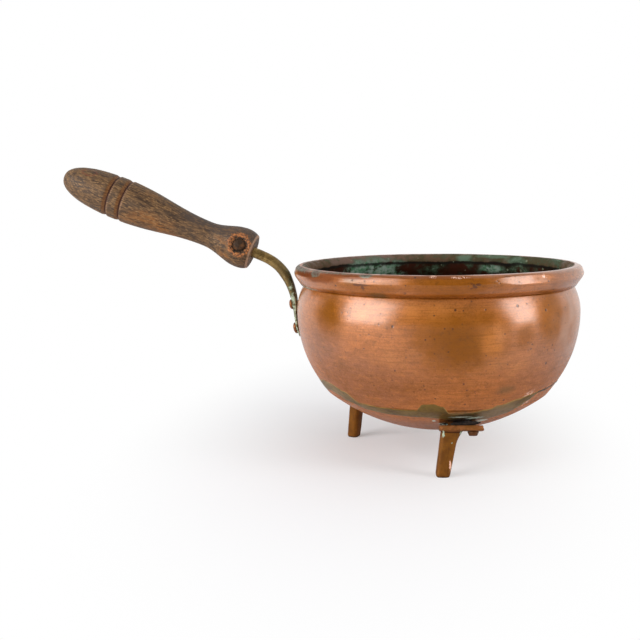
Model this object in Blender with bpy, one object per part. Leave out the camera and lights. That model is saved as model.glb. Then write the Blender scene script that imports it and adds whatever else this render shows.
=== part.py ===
"""A round-bellied copper saucepan on three riveted legs, with a turned wooden grip on a brass shank.

Metres, +Z up. The feet stand on z = 0 and the grip points along -X. The origin lies on the floor, below
the middle of the whole outline, so the bowl's axis stands a little way along +X.
"""

import math

import bmesh
import bpy
from mathutils import Matrix, Vector

# Bowl. Every drop is a depth below the rim's top.
RIM_RADIUS = 0.0835
BOWL_DEPTH = 0.0970
FLOOR_CLEARANCE = 0.0147
SHEET = 0.0012
NECK_DROP = 0.0105
BELLY_INSET = 0.0013
BELLY_DROP = 0.0268
BELLY_FALL = 0.0756
BELLY_SQUARENESS = 2.02
SEAM_RADIUS = 0.0650

# Rolled rim, turned outwards over a wire. It stands in from the wall's inside by its swell.
ROLL_RADIUS = 0.0043
ROLL_SWELL = 0.0012
SKIRT_DROP = 0.0113
SKIRT_SLIT = 0.0006

# Brazed seam between the wall and the base
BRAZE_WIDTH = 0.0055
BRAZE_ROOT = 0.0008
BRAZE_CROWN = 0.0002

# Wooden grip. Its positions run along its axis from the face beside the bowl.
GRIP_STANDOFF = 0.0253
GRIP_RISE = 0.0065
GRIP_SLOPE_DEG = 21.9
GRIP_LENGTH = 0.1240
FACE_RADIUS = 0.0090
FACE_CHAMFER = 0.0006
KNOB_RADIUS = 0.0122
KNOB_AT = 0.0072
WAIST_RADIUS = 0.0076
WAIST_AT = 0.0298
SWELL_RADIUS = 0.0129
SWELL_AT = 0.0842
BUTT_SQUARENESS = 2.45
GROOVE_PLACES = (0.0829, 0.0913)
GROOVE_DEPTH = 0.0010
GROOVE_STEP = 0.0006
GROOVE_SLOPE = 0.0028

# Shank: a tang in the grip, a round bend over the rim and a strap down the bowl
SHANK_DIAMETER = 0.0063
TANG_LENGTH = 0.0700
TANG_END_DIAMETER = 0.0036
BEND_TOP_PULL = 0.0115
BEND_FOOT_PULL = 0.0287
SPREAD_START = 0.62
STRAP_WIDTH = 0.0108
STRAP_TIP_WIDTH = 0.0056
STRAP_START_DROP = 0.0300
STRAP_END_DROP = 0.0435
STRAP_START_THICKNESS = 0.0019
STRAP_END_THICKNESS = 0.0010
STRAP_SQUARENESS = 5.0

# Rivets. Each one's tail is burred over inside the bowl.
UPPER_RIVET_DROP = 0.0241
UPPER_HEAD_DIAMETER = 0.0062
UPPER_HEAD_HEIGHT = 0.0018
LOWER_RIVET_DROP = 0.0385
LOWER_HEAD_DIAMETER = 0.0070
LOWER_HEAD_HEIGHT = 0.0020
HEAD_SQUARENESS = 2.6
RIVET_DIAMETER = 0.0034
TAIL_DIAMETER = 0.0060
TAIL_HEIGHT = 0.0011
TAIL_TIP_SHARE = 0.7
TAIL_SHOULDER_SHARE = 0.8

# Cross pin that holds the tang in the grip's knob
PIN_AT = 0.0080
PIN_TILT_DEG = 13.0
PIN_DIAMETER = 0.0026
PIN_HEAD_DIAMETER = 0.0074
PIN_HEAD_HEIGHT = 0.0016
PIN_TAIL_DIAMETER = 0.0044
PIN_TAIL_HEIGHT = 0.0008
SOCKET_DIAMETER = 0.0086
SOCKET_MOUTH_DIAMETER = 0.0136
SOCKET_DEPTH = 0.0026

# Legs: name, angle round the bowl, how far inside the seam the foot stands, side that the plate points to,
# and lean to that side in degrees
LEGS = (
    ("leg_front", -85.7, 0.0100, 1, 8.2),
    ("leg_handle_side", 155.4, 0.0085, -1, 0.0),
    ("leg_rear", 68.0, 0.0110, 1, 0.0),
)
LEG_SPLAY_DEG = 6.0
LEG_FOOT_WIDTH = 0.0081
LEG_TOP_WIDTH = 0.0099
LEG_FOOT_DEPTH = 0.0072
LEG_TOP_DEPTH = 0.0078
LEG_FLARE = 0.0030
LEG_FLARE_START = 0.62
LEG_SQUARENESS = 3.2
FOOT_WEAR = 0.0012
PLATE_THICKNESS = 0.0028
PLATE_DEPTH = 0.0110
PLATE_HEEL = 0.0061
PLATE_TOE = 0.0188
PLATE_WEDGE_DEG = 13.0
PLATE_EDGE = 0.0005
PLATE_CORNER = 0.0020
LEG_RIVET_AT = 0.0124
LEG_HEAD_DIAMETER = 0.0063
LEG_HEAD_TIP_DIAMETER = 0.0046
LEG_HEAD_HEIGHT = 0.0024
SPIGOT_DIAMETER = 0.0044

# Clearance between pieces that touch
FIT_GAP = 0.0003

# How finely shapes are drawn: steps round a turned shape, points along a curve, and places along a leg
BOWL_STEPS = 48
GRIP_STEPS = 32
SMALL_STEPS = 16
ROLL_POINTS = 12
WIRE_POINTS = 10
WALL_POINTS = 12
BASE_POINTS = 9
BEND_POINTS = 15
STRAP_POINTS = 8
LEG_PLACES = (0, 0.02, 0.06, 0.3, 0.62, 0.78, 0.88, 0.95, 1)
WELD = 0.00001

RIM_HEIGHT = FLOOR_CLEARANCE + BOWL_DEPTH
ROLL_CENTRE = Vector((RIM_RADIUS - ROLL_RADIUS, RIM_HEIGHT - ROLL_RADIUS))
WIRE_RADIUS = ROLL_RADIUS - SHEET - FIT_GAP
NECK_RADIUS = RIM_RADIUS - 2 * ROLL_RADIUS + ROLL_SWELL + SHEET
BELLY_RADIUS = RIM_RADIUS - BELLY_INSET
GRIP_REACH = RIM_RADIUS + GRIP_STANDOFF
SLOPE = math.radians(GRIP_SLOPE_DEG)


def clear_scene():
    for obj in list(bpy.data.objects):
        bpy.data.objects.remove(obj)


def make_material(name, colour, metallic, roughness):
    material = bpy.data.materials.new(name)
    material.use_nodes = True
    shader = material.node_tree.nodes["Principled BSDF"]
    shader.inputs["Base Color"].default_value = (*colour, 1.0)
    shader.inputs["Metallic"].default_value = metallic
    shader.inputs["Roughness"].default_value = roughness
    return material


def add_object(name, mesh, material, parent):
    obj = bpy.data.objects.new(name, mesh)
    if material:
        obj.data.materials.append(material)
    obj.parent = parent
    bpy.context.scene.collection.objects.link(obj)
    return obj


def add_empty(name, parent=None, location=(0, 0, 0), rotation=(0, 0, 0)):
    obj = bpy.data.objects.new(name, None)
    obj.parent = parent
    obj.location = location
    obj.rotation_euler = rotation
    bpy.context.scene.collection.objects.link(obj)
    return obj


def hide_guide(obj):
    obj.hide_render = True
    obj.display_type = "WIRE"
    return obj


def turned(name, profile, closed, steps, material, parent):
    """A body turned about its local Z from points (radius, height), run down its outer side."""
    mesh = bpy.data.meshes.new(name)
    edges = [(i, i + 1) for i in range(len(profile) - 1)]
    if closed:
        edges.append((len(profile) - 1, 0))
    mesh.from_pydata([(r, 0, z) for r, z in profile], edges, [])
    obj = add_object(name, mesh, material, parent)
    screw = obj.modifiers.new("Turn", "SCREW")
    screw.axis = "Z"
    screw.angle = math.tau
    screw.steps = steps
    screw.render_steps = steps
    screw.use_merge_vertices = True
    screw.merge_threshold = WELD
    return obj


def lofted(name, rings, material, parent):
    """A body skinned over closed rings of points, all with as many points, and capped at both ends."""
    shape = bmesh.new()
    loops = []
    for ring in rings:
        loops.append([shape.verts.new(point) for point in ring])
    count = len(loops[0])
    for lower, upper in zip(loops, loops[1:]):
        for i in range(count):
            j = (i + 1) % count
            shape.faces.new((lower[i], lower[j], upper[j], upper[i]))
    shape.faces.new(loops[0])
    shape.faces.new(loops[-1])
    bmesh.ops.recalc_face_normals(shape, faces=shape.faces)
    mesh = bpy.data.meshes.new(name)
    shape.to_mesh(mesh)
    shape.free()
    mesh.shade_smooth()
    mesh.set_sharp_from_angle(angle=math.radians(50))
    return add_object(name, mesh, material, parent)


def cut(obj, cutter, operation="DIFFERENCE"):
    boolean = obj.modifiers.new(cutter.name, "BOOLEAN")
    boolean.operation = operation
    boolean.object = hide_guide(cutter)


def aimed(origin, axis):
    """The matrix that puts local Z along an axis at an origin."""
    return Matrix.Translation(origin) @ Vector(axis).to_track_quat("Z", "Y").to_matrix().to_4x4()


def rod_cutter(name, origin, axis, start, end, start_radius, end_radius, parent):
    profile = [(0, end), (end_radius, end), (start_radius, start), (0, start)]
    cutter = turned(name, profile, False, SMALL_STEPS, None, parent)
    cutter.matrix_local = aimed(origin, axis)
    return cutter


def superellipse(angle, half_width, half_height, power):
    """A point of a rounded rectangle: power 2 is an ellipse, and a higher power is squarer."""
    c, s = math.cos(angle), math.sin(angle)
    x = math.copysign(abs(c) ** (2 / power), c) * half_width
    y = math.copysign(abs(s) ** (2 / power), s) * half_height
    return x, y


def lengths_along(path):
    run = [0.0]
    for a, b in zip(path, path[1:]):
        run.append(run[-1] + (b - a).length)
    return run


def stretch(path, start, end, count):
    """Evenly spaced points of a path, from one distance along it to another."""
    run = lengths_along(path)
    points = []
    for k in range(count):
        wanted = start + (end - start) * k / (count - 1)
        i = next((n for n in range(1, len(run)) if run[n] >= wanted), len(run) - 1)
        share = (wanted - run[i - 1]) / (run[i] - run[i - 1])
        points.append(path[i - 1].lerp(path[i], share))
    return points


def offset(path, distance):
    """A path moved sideways, to the left of the way that it runs."""
    moved = []
    for i, point in enumerate(path):
        before = path[max(i - 1, 0)]
        after = path[min(i + 1, len(path) - 1)]
        along = (after - before).normalized()
        moved.append(point + Vector((-along.y, along.x)) * distance)
    return moved


def arc(centre, radius, start, end, count):
    angles = [start + (end - start) * k / (count - 1) for k in range(count)]
    return [centre + Vector((math.cos(a), math.sin(a))) * radius for a in angles]


def tangent_angle(point, centre, radius, side):
    """Where a line from a point touches a circle, as an angle round the circle."""
    line = point - centre
    return math.atan2(line.y, line.x) + side * math.acos(radius / line.length)


def head_points(seat, radius, height, tip_radius=None):
    """Half outline (radius, height) of a rivet's head: a dome, or a slope in to a flat tip."""
    if tip_radius:
        return [(0, seat + height), (tip_radius, seat + height), (radius, seat)]
    points = [(0, seat + height)]
    for turn in (60, 30, 8):
        r, rise = superellipse(math.radians(turn), radius, height, HEAD_SQUARENESS)
        points.append((r, seat + rise))
    return [*points, (radius, seat)]


def tail_points(seat, radius, height):
    """Half outline (radius, height) of a burred-over end that points down, from its seat to its tip."""
    shoulder = (radius * TAIL_TIP_SHARE, seat - height * TAIL_SHOULDER_SHARE)
    return [(radius, seat), shoulder, (0, seat - height)]


def rivet(name, head, shaft_radius, tail, origin, axis, material, parent):
    """A turned fastener along an axis, with its head outside the work and its tail inside."""
    shaft = [(shaft_radius, head[-1][1]), (shaft_radius, tail[0][1])]
    obj = turned(name, head + shaft + tail, False, SMALL_STEPS, material, parent)
    obj.matrix_local = aimed(origin, axis)


def dish():
    """The base is part of a ball: the height of the ball's middle, and its radius."""
    share = (1 - (SEAM_RADIUS / BELLY_RADIUS) ** BELLY_SQUARENESS) ** (1 / BELLY_SQUARENESS)
    rise = BOWL_DEPTH - BELLY_DROP - BELLY_FALL * share
    radius = (SEAM_RADIUS**2 + rise**2) / (2 * rise)
    return FLOOR_CLEARANCE + radius, radius


def bowl_outline():
    """The bowl's outer surface from the neck to the middle of the base, and the index of the seam."""
    neck_count, belly_count, base_count = 24, 60, 40
    path = []
    for k in range(neck_count):
        share = k / neck_count
        drop = NECK_DROP + (BELLY_DROP - NECK_DROP) * share
        radius = BELLY_RADIUS - (BELLY_RADIUS - NECK_RADIUS) * (1 - share) ** 2
        path.append(Vector((radius, RIM_HEIGHT - drop)))
    power = BELLY_SQUARENESS
    seam_turn = math.acos((SEAM_RADIUS / BELLY_RADIUS) ** (power / 2))
    for k in range(belly_count + 1):
        turn = seam_turn * k / belly_count
        radius = BELLY_RADIUS * math.cos(turn) ** (2 / power)
        drop = BELLY_DROP + BELLY_FALL * math.sin(turn) ** (2 / power)
        path.append(Vector((radius, RIM_HEIGHT - drop)))
    seam_index = len(path) - 1
    middle, ball = dish()
    edge_turn = math.asin(SEAM_RADIUS / ball)
    for k in range(1, base_count + 1):
        turn = edge_turn * (1 - k / base_count)
        path.append(Vector((ball * math.sin(turn), middle - ball * math.cos(turn))))
    return path, seam_index


OUTLINE, SEAM_INDEX = bowl_outline()
LINING = offset(OUTLINE, -SHEET)
LINING[-1].x = 0.0
SEAM_OUTSIDE = lengths_along(OUTLINE)[SEAM_INDEX]
SEAM_INSIDE = lengths_along(LINING)[SEAM_INDEX]


def surface_at(drop):
    """The bowl's outer surface at a drop: its point, and its slope as a unit vector that points outwards."""
    height = RIM_HEIGHT - drop
    i = next(n for n in range(1, len(OUTLINE)) if OUTLINE[n].y <= height)
    a, b = OUTLINE[i - 1], OUTLINE[i]
    point = a.lerp(b, (a.y - height) / (a.y - b.y))
    along = (b - a).normalized()
    return point, Vector((-along.y, along.x))


def build_wall(pan, copper, iron):
    """The wall and its rolled rim, in one sheet, and the wire inside the roll."""
    outside = stretch(OUTLINE, 0, SEAM_OUTSIDE - BRAZE_WIDTH / 2 - FIT_GAP, WALL_POINTS)
    inside = stretch(LINING, 0, SEAM_INSIDE - BRAZE_ROOT / 2 - FIT_GAP, WALL_POINTS)
    neck = (outside[0] + inside[0]) / 2
    skirt_radius = surface_at(SKIRT_DROP)[0].x + SKIRT_SLIT + SHEET / 2
    skirt_edge = Vector((skirt_radius, RIM_HEIGHT - SKIRT_DROP))
    middle_radius = ROLL_RADIUS - SHEET / 2
    skirt_turn = tangent_angle(skirt_edge, ROLL_CENTRE, middle_radius, 1)
    neck_turn = tangent_angle(neck, ROLL_CENTRE, middle_radius, -1) + math.tau
    roll = arc(ROLL_CENTRE, middle_radius, skirt_turn, neck_turn, ROLL_POINTS)
    lip = [skirt_edge, *roll, neck]
    lip_outside = offset(lip, -SHEET / 2)[:-1]
    lip_inside = offset(lip, SHEET / 2)[:-1]
    section = lip_outside + inside + outside[::-1] + lip_inside[::-1]
    turned("bowl_wall", section[::-1], True, BOWL_STEPS, copper, pan)

    last_turn = -math.tau * (WIRE_POINTS - 1) / WIRE_POINTS
    wire = arc(ROLL_CENTRE, WIRE_RADIUS, 0, last_turn, WIRE_POINTS)
    turned("rim_wire", wire, True, BOWL_STEPS, iron, pan)


def build_base(pan, copper, brass):
    """The dished base, and the band of braze that fills the bevel between it and the wall."""
    band_start, band_end = SEAM_OUTSIDE - BRAZE_WIDTH / 2, SEAM_OUTSIDE + BRAZE_WIDTH / 2
    root_start, root_end = SEAM_INSIDE - BRAZE_ROOT / 2, SEAM_INSIDE + BRAZE_ROOT / 2
    edges = stretch(OUTLINE, band_start, band_end, 2)
    crown = stretch(offset(OUTLINE, BRAZE_CROWN), band_start, band_end, 5)[1:-1]
    root = stretch(LINING, root_end, root_start, 2)
    turned("braze_seam", [edges[0], *crown, edges[1], *root], True, BOWL_STEPS, brass, pan)

    outside = stretch(OUTLINE, band_end + FIT_GAP, lengths_along(OUTLINE)[-1], BASE_POINTS)
    inside = stretch(LINING, root_end + FIT_GAP, lengths_along(LINING)[-1], BASE_POINTS)
    outside[-1].x = 0.0
    inside[-1].x = 0.0
    return turned("bowl_base", inside[::-1] + outside, False, BOWL_STEPS, copper, pan)


def grip_radius(at):
    """The grip's plain outline, without its grooves."""
    if at < KNOB_AT:
        edge = math.sqrt(1 - (1 - at / KNOB_AT) ** 2)
        return FACE_RADIUS + (KNOB_RADIUS - FACE_RADIUS) * edge
    if at < WAIST_AT:
        share = (1 + math.cos(math.pi * (at - KNOB_AT) / (WAIST_AT - KNOB_AT))) / 2
        return WAIST_RADIUS + (KNOB_RADIUS - WAIST_RADIUS) * share
    if at < SWELL_AT:
        share = (1 - math.cos(math.pi * (at - WAIST_AT) / (SWELL_AT - WAIST_AT))) / 2
        return WAIST_RADIUS + (SWELL_RADIUS - WAIST_RADIUS) * share
    share = (at - SWELL_AT) / (GRIP_LENGTH - SWELL_AT)
    return SWELL_RADIUS * max(0.0, 1 - share**BUTT_SQUARENESS) ** (1 / BUTT_SQUARENESS)


def grip_profile():
    """Points (radius, distance from the face) of the grip, from its butt to its face."""
    places = [FACE_CHAMFER]
    for start, end, shares in (
        (0, KNOB_AT, (0.3, 0.65, 1)),
        (KNOB_AT, WAIST_AT, (0.25, 0.5, 0.75, 1)),
        (WAIST_AT, SWELL_AT, (0.2, 0.4, 0.6, 0.8)),
        (GRIP_LENGTH, SWELL_AT, (0.62, 0.42, 0.26, 0.14, 0.06, 0.015)),
    ):
        places += [start + (end - start) * share for share in shares]
    places += [place - GROOVE_STEP for place in GROOVE_PLACES]
    places += [place + GROOVE_SLOPE for place in GROOVE_PLACES]
    points = [(grip_radius(at), at) for at in places]
    points += [(grip_radius(place) - GROOVE_DEPTH, place) for place in GROOVE_PLACES]
    points += [(FACE_RADIUS - FACE_CHAMFER, 0), (0, GRIP_LENGTH)]
    return sorted(points, key=lambda point: -point[1])


def pin_direction():
    tilt = math.radians(PIN_TILT_DEG)
    return Vector((math.sin(tilt), -math.cos(tilt), 0))


def build_grip(handle, wood, iron):
    """The grip with its bore for the tang, and the cross pin in its countersunk socket."""
    mouth = SHANK_DIAMETER / 2 + FIT_GAP
    bore_end = TANG_END_DIAMETER / 2 + FIT_GAP
    bore = [(mouth, 0), (bore_end, TANG_LENGTH + FIT_GAP), (0, TANG_LENGTH + FIT_GAP)]
    grip = turned("wooden_grip", grip_profile() + bore, False, GRIP_STEPS, wood, handle)

    origin = Vector((0, 0, PIN_AT))
    axis = pin_direction()
    floor = KNOB_RADIUS - SOCKET_DEPTH
    hole = PIN_DIAMETER / 2 + FIT_GAP
    through = rod_cutter("pin_hole", origin, axis, -2 * KNOB_RADIUS, 2 * KNOB_RADIUS, hole, hole, handle)
    # The cutter runs on past the wood by the socket's depth, and so widens by as much again.
    bottom = SOCKET_DIAMETER / 2
    top = SOCKET_MOUTH_DIAMETER - SOCKET_DIAMETER / 2
    socket = rod_cutter("pin_socket", origin, axis, floor, floor + 2 * SOCKET_DEPTH, bottom, top, handle)
    cut(grip, through)
    cut(grip, socket)
    head = head_points(floor + FIT_GAP, PIN_HEAD_DIAMETER / 2, PIN_HEAD_HEIGHT)
    tail = tail_points(-KNOB_RADIUS - FIT_GAP, PIN_TAIL_DIAMETER / 2, PIN_TAIL_HEIGHT)
    rivet("grip_pin", head, PIN_DIAMETER / 2, tail, origin, axis, iron, handle)


def strap_stations():
    """The strap's run down the bowl: (centre, width, thickness, squareness) of each of its sections."""
    stations = []
    for k in range(STRAP_POINTS):
        share = k / (STRAP_POINTS - 1)
        drop = STRAP_START_DROP + (STRAP_END_DROP - STRAP_START_DROP) * share
        thickness = STRAP_START_THICKNESS + (STRAP_END_THICKNESS - STRAP_START_THICKNESS) * share
        point, normal = surface_at(drop)
        centre = point + normal * (FIT_GAP + thickness / 2)
        to_end = min(1.0, (STRAP_END_DROP - drop) / (STRAP_WIDTH / 2))
        width = max(STRAP_TIP_WIDTH, STRAP_WIDTH * math.sqrt(1 - (1 - to_end) ** 2))
        stations.append((centre, width, thickness, STRAP_SQUARENESS))
    return stations


def shank_stations():
    """The whole shank's sections in the grip's plane, from the tang's end to the strap's.

    A section's centre is (distance from the bowl's axis, height).
    """
    outwards = Vector((math.cos(SLOPE), math.sin(SLOPE)))
    start = Vector((GRIP_REACH, RIM_HEIGHT + GRIP_RISE))
    tang_end = (start + outwards * TANG_LENGTH, TANG_END_DIAMETER, TANG_END_DIAMETER, 2)
    strap = strap_stations()
    end = strap[0][0]
    down = (strap[1][0] - end).normalized()
    pulls = (start, start - outwards * BEND_TOP_PULL, end - down * BEND_FOOT_PULL, end)
    bend = []
    for k in range(BEND_POINTS):
        t = k / BEND_POINTS
        weights = ((1 - t) ** 3, 3 * t * (1 - t) ** 2, 3 * t * t * (1 - t), t**3)
        centre = sum((pull * weight for pull, weight in zip(pulls, weights)), Vector((0, 0)))
        spread = max(0.0, (t - SPREAD_START) / (1 - SPREAD_START))
        width = SHANK_DIAMETER + (STRAP_WIDTH - SHANK_DIAMETER) * spread
        thickness = SHANK_DIAMETER + (STRAP_START_THICKNESS - SHANK_DIAMETER) * spread
        bend.append((centre, width, thickness, 2 + (STRAP_SQUARENESS - 2) * spread))
    return [tang_end, *bend, *strap]


def shank_normals(stations):
    """For each station, the unit vector square to the shank that points away from the bowl."""
    normals = []
    for i in range(len(stations)):
        before = stations[max(i - 1, 0)][0]
        after = stations[min(i + 1, len(stations) - 1)][0]
        along = (after - before).normalized()
        normals.append(Vector((-along.y, along.x)))
    return normals


def in_grip_plane(point, sideways=0.0):
    return Vector((-point.x, sideways, point.y))


def heights_near(points, origin, axis, reach):
    """How high the points within reach of an axis lie along it."""
    return [(p - origin).dot(axis) for p in points if abs((p - origin).cross(axis)) < reach]


def build_shank(pan, handle, brass, copper):
    """Tang, bend and strap, forged from one rod, and the two rivets through the strap and the wall."""
    stations = shank_stations()
    normals = shank_normals(stations)
    rings = []
    for (centre, width, thickness, power), normal in zip(stations, normals):
        ring = []
        for k in range(SMALL_STEPS):
            across, out = superellipse(math.tau * k / SMALL_STEPS, width / 2, thickness / 2, power)
            ring.append(in_grip_plane(centre + normal * out, across))
        rings.append(ring)
    shank = lofted("handle_shank", rings, brass, pan)

    hole = PIN_DIAMETER / 2 + FIT_GAP
    reach = SHANK_DIAMETER
    cut(shank, rod_cutter("tang_hole", (0, 0, PIN_AT), pin_direction(), -reach, reach, hole, hole, handle))

    wall = bpy.data.objects["bowl_wall"]
    outer_face = [station[0] + normal * station[2] / 2 for station, normal in zip(stations, normals)]
    for name, drop, diameter, height in (
        ("shank_rivet_upper", UPPER_RIVET_DROP, UPPER_HEAD_DIAMETER, UPPER_HEAD_HEIGHT),
        ("shank_rivet_lower", LOWER_RIVET_DROP, LOWER_HEAD_DIAMETER, LOWER_HEAD_HEIGHT),
    ):
        origin = surface_at(drop)[0]
        nearest = min(range(len(outer_face)), key=lambda i: abs(outer_face[i].y - origin.y))
        along = (outer_face[nearest + 1] - outer_face[nearest - 1]).normalized()
        axis = Vector((-along.y, along.x))
        seat = max(heights_near(outer_face, origin, axis, diameter / 2 + FIT_GAP)) + FIT_GAP
        lining = min(heights_near(LINING[:SEAM_INDEX], origin, axis, TAIL_DIAMETER / 2))
        tail_seat = lining - (TAIL_DIAMETER / 2) ** 2 / origin.x - FIT_GAP
        head = head_points(seat, diameter / 2, height)
        tail = tail_points(tail_seat, TAIL_DIAMETER / 2, TAIL_HEIGHT)
        place, aim = in_grip_plane(origin), in_grip_plane(axis)
        rivet(name, head, RIVET_DIAMETER / 2, tail, place, aim, copper, pan)
        hole = RIVET_DIAMETER / 2 + FIT_GAP
        depth = seat - tail_seat
        for work in (shank, wall):
            cut(work, rod_cutter(f"{name}_{work.name}_hole", place, aim, -depth, depth, hole, hole, pan))


def base_height(radius):
    """How high the base's underside lies above the floor, at a radius."""
    middle, ball = dish()
    return middle - math.sqrt(ball**2 - radius**2)


def leg_frame(angle_deg, foot_radius, side, lean_deg):
    """Unit vectors outwards, along the plate and square to it, and the point of its top above the leg."""
    angle = math.radians(angle_deg)
    out = Vector((math.cos(angle), math.sin(angle), 0))
    along = Vector((-math.sin(angle), math.cos(angle), 0)) * side
    ball = dish()[1]
    top_radius = foot_radius - base_height(foot_radius) * math.tan(math.radians(LEG_SPLAY_DEG))
    tilt = math.asin(top_radius / ball) - math.radians(PLATE_WEDGE_DEG)
    normal = Vector((0, 0, math.cos(tilt))) - out * math.sin(tilt)
    inner_edge = top_radius - PLATE_DEPTH / 2 * math.cos(tilt)
    edge_height = base_height(inner_edge) - FIT_GAP / math.cos(math.asin(inner_edge / ball))
    top_height = edge_height + PLATE_DEPTH / 2 * math.sin(tilt)
    sideways = along * (top_height * math.tan(math.radians(lean_deg)))
    return out, along, normal, out * top_radius + sideways + Vector((0, 0, top_height))


def leg_plate(name, out, along, normal, top, parent):
    """A leg's flat foot plate: a rounded rectangle with its top at a point and its toe along the bowl."""
    across = along.cross(normal).normalized()
    if across.dot(out) < 0:
        across.negate()
    shape = bmesh.new()
    half = PLATE_DEPTH / 2
    corners = []
    for a, c in ((-PLATE_HEEL, -half), (PLATE_TOE, -half), (PLATE_TOE, half), (-PLATE_HEEL, half)):
        corners.append(shape.verts.new(top + along * a + across * c))
    shape.faces.new(corners)
    bmesh.ops.bevel(shape, geom=corners, offset=PLATE_CORNER, segments=3, profile=0.5, affect="VERTICES")
    grown = bmesh.ops.extrude_face_region(shape, geom=shape.faces[:])
    moved = [item for item in grown["geom"] if isinstance(item, bmesh.types.BMVert)]
    bmesh.ops.translate(shape, verts=moved, vec=-normal * PLATE_THICKNESS)
    bmesh.ops.recalc_face_normals(shape, faces=shape.faces)
    mesh = bpy.data.meshes.new(name)
    shape.to_mesh(mesh)
    shape.free()
    plate = add_object(name, mesh, None, parent)
    bevel = plate.modifiers.new("Edges", "BEVEL")
    bevel.width = PLATE_EDGE
    bevel.segments = 1
    bevel.limit_method = "ANGLE"
    bevel.angle_limit = math.radians(50)
    return plate


def leg_post(name, foot, top, out, along, normal, bronze, parent):
    """A leg's cast post, from its worn foot to its flare into the plate, cut off along the plate."""
    foot_rounding = LEG_PLACES[2]
    rings = []
    for share in LEG_PLACES:
        centre = foot.lerp(top, share)
        wear = FOOT_WEAR * max(0.0, 1 - share / foot_rounding) ** 2
        half_width = (LEG_FOOT_WIDTH + (LEG_TOP_WIDTH - LEG_FOOT_WIDTH) * share) / 2 - wear
        half_depth = (LEG_FOOT_DEPTH + (LEG_TOP_DEPTH - LEG_FOOT_DEPTH) * share) / 2 - wear
        flare = LEG_FLARE * max(0.0, (share - LEG_FLARE_START) / (1 - LEG_FLARE_START)) ** 2
        ring = []
        for k in range(SMALL_STEPS):
            x, y = superellipse(math.tau * k / SMALL_STEPS, half_width, half_depth, LEG_SQUARENESS)
            point = centre + along * (x + flare * max(0.0, x / half_width)) + out * y
            if share == 1:
                point.z -= (point - top).dot(normal) / normal.z
            ring.append(point)
        rings.append(ring)
    return lofted(name, rings, bronze, parent)


def reach_of_base(point, direction, inside):
    """How far a line from a point below the base runs to the base's outer or inner surface."""
    middle, ball = dish()
    radius = ball - SHEET if inside else ball
    centre = Vector((0, 0, middle))
    towards = (point - centre).dot(direction)
    left = towards**2 - ((point - centre).length_squared - radius**2)
    return -towards - math.sqrt(left)


def tail_seat_above(point, direction):
    """The reach of a tail's seat above the base, with room for the slope under its edge."""
    middle, ball = dish()
    lining = reach_of_base(point, direction, True)
    meeting = point + direction * lining
    slant = (Vector((0, 0, middle)) - meeting).normalized().angle(direction)
    edge = TAIL_DIAMETER / 2
    return lining + edge * math.tan(slant) + edge**2 / (2 * ball) + FIT_GAP


def build_leg(pan, base, bronze, copper, name, angle_deg, foot_inset, side, lean_deg):
    """A leg with its plate and its spigot in one casting, and the rivet through the plate's toe."""
    foot_radius = SEAM_RADIUS - foot_inset
    out, along, normal, top = leg_frame(angle_deg, foot_radius, side, lean_deg)
    plate_middle = top - normal * (PLATE_THICKNESS / 2)
    leg = leg_post(name, out * foot_radius, plate_middle, out, along, normal, bronze, pan)
    cut(leg, leg_plate(f"{name}_plate", out, along, normal, top, pan), "UNION")

    seat = tail_seat_above(plate_middle, normal)
    tail = tail_points(-seat, TAIL_DIAMETER / 2, TAIL_HEIGHT)
    stem = [(0, 0), (SPIGOT_DIAMETER / 2, 0), (SPIGOT_DIAMETER / 2, -seat)]
    spigot = turned(f"{name}_spigot", stem + tail, False, SMALL_STEPS, None, pan)
    spigot.matrix_local = aimed(plate_middle, -normal)
    cut(leg, spigot, "UNION")
    hole = SPIGOT_DIAMETER / 2 + FIT_GAP
    cut(base, rod_cutter(f"{name}_spigot_hole", plate_middle, normal, 0, 2 * seat, hole, hole, pan))

    at = top + along * LEG_RIVET_AT
    seat = tail_seat_above(at, normal)
    head = head_points(
        PLATE_THICKNESS + FIT_GAP, LEG_HEAD_DIAMETER / 2, LEG_HEAD_HEIGHT, LEG_HEAD_TIP_DIAMETER / 2
    )
    tail = tail_points(-seat, TAIL_DIAMETER / 2, TAIL_HEIGHT)
    rivet(f"{name}_rivet", head, RIVET_DIAMETER / 2, tail, at, -normal, copper, pan)
    hole = RIVET_DIAMETER / 2 + FIT_GAP
    for work in (leg, base):
        start = -2 * PLATE_THICKNESS
        cut(work, rod_cutter(f"{name}_{work.name}_rivet_hole", at, normal, start, 2 * seat, hole, hole, pan))


def build():
    clear_scene()
    copper = make_material("aged_copper", (0.50, 0.20, 0.09), 0.9, 0.35)
    seam_brass = make_material("seam_brass", (0.26, 0.19, 0.07), 0.8, 0.45)
    shank_brass = make_material("shank_brass", (0.30, 0.21, 0.09), 0.8, 0.45)
    leg_bronze = make_material("leg_bronze", (0.24, 0.12, 0.04), 0.8, 0.45)
    rivet_copper = make_material("rivet_copper", (0.30, 0.12, 0.06), 0.8, 0.45)
    iron = make_material("dark_iron", (0.05, 0.04, 0.035), 0.5, 0.7)
    wood = make_material("weathered_wood", (0.20, 0.12, 0.07), 0.0, 0.6)

    grip_reaches = [at * math.cos(SLOPE) + radius * math.sin(SLOPE) for radius, at in grip_profile()]
    butt_reach = GRIP_REACH + max(grip_reaches)
    pan = add_empty("pan", None, ((butt_reach - RIM_RADIUS) / 2, 0, 0))
    grip_place = (-GRIP_REACH, 0, RIM_HEIGHT + GRIP_RISE)
    handle = add_empty("handle", pan, grip_place, (0, SLOPE - math.pi / 2, 0))

    build_wall(pan, copper, iron)
    base = build_base(pan, copper, seam_brass)
    build_grip(handle, wood, iron)
    build_shank(pan, handle, shank_brass, rivet_copper)
    for leg in LEGS:
        build_leg(pan, base, leg_bronze, rivet_copper, *leg)


build()
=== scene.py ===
"""Looks of the copper saucepan: the studio, then each piece in fine mesh with its metal or wood."""

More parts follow.
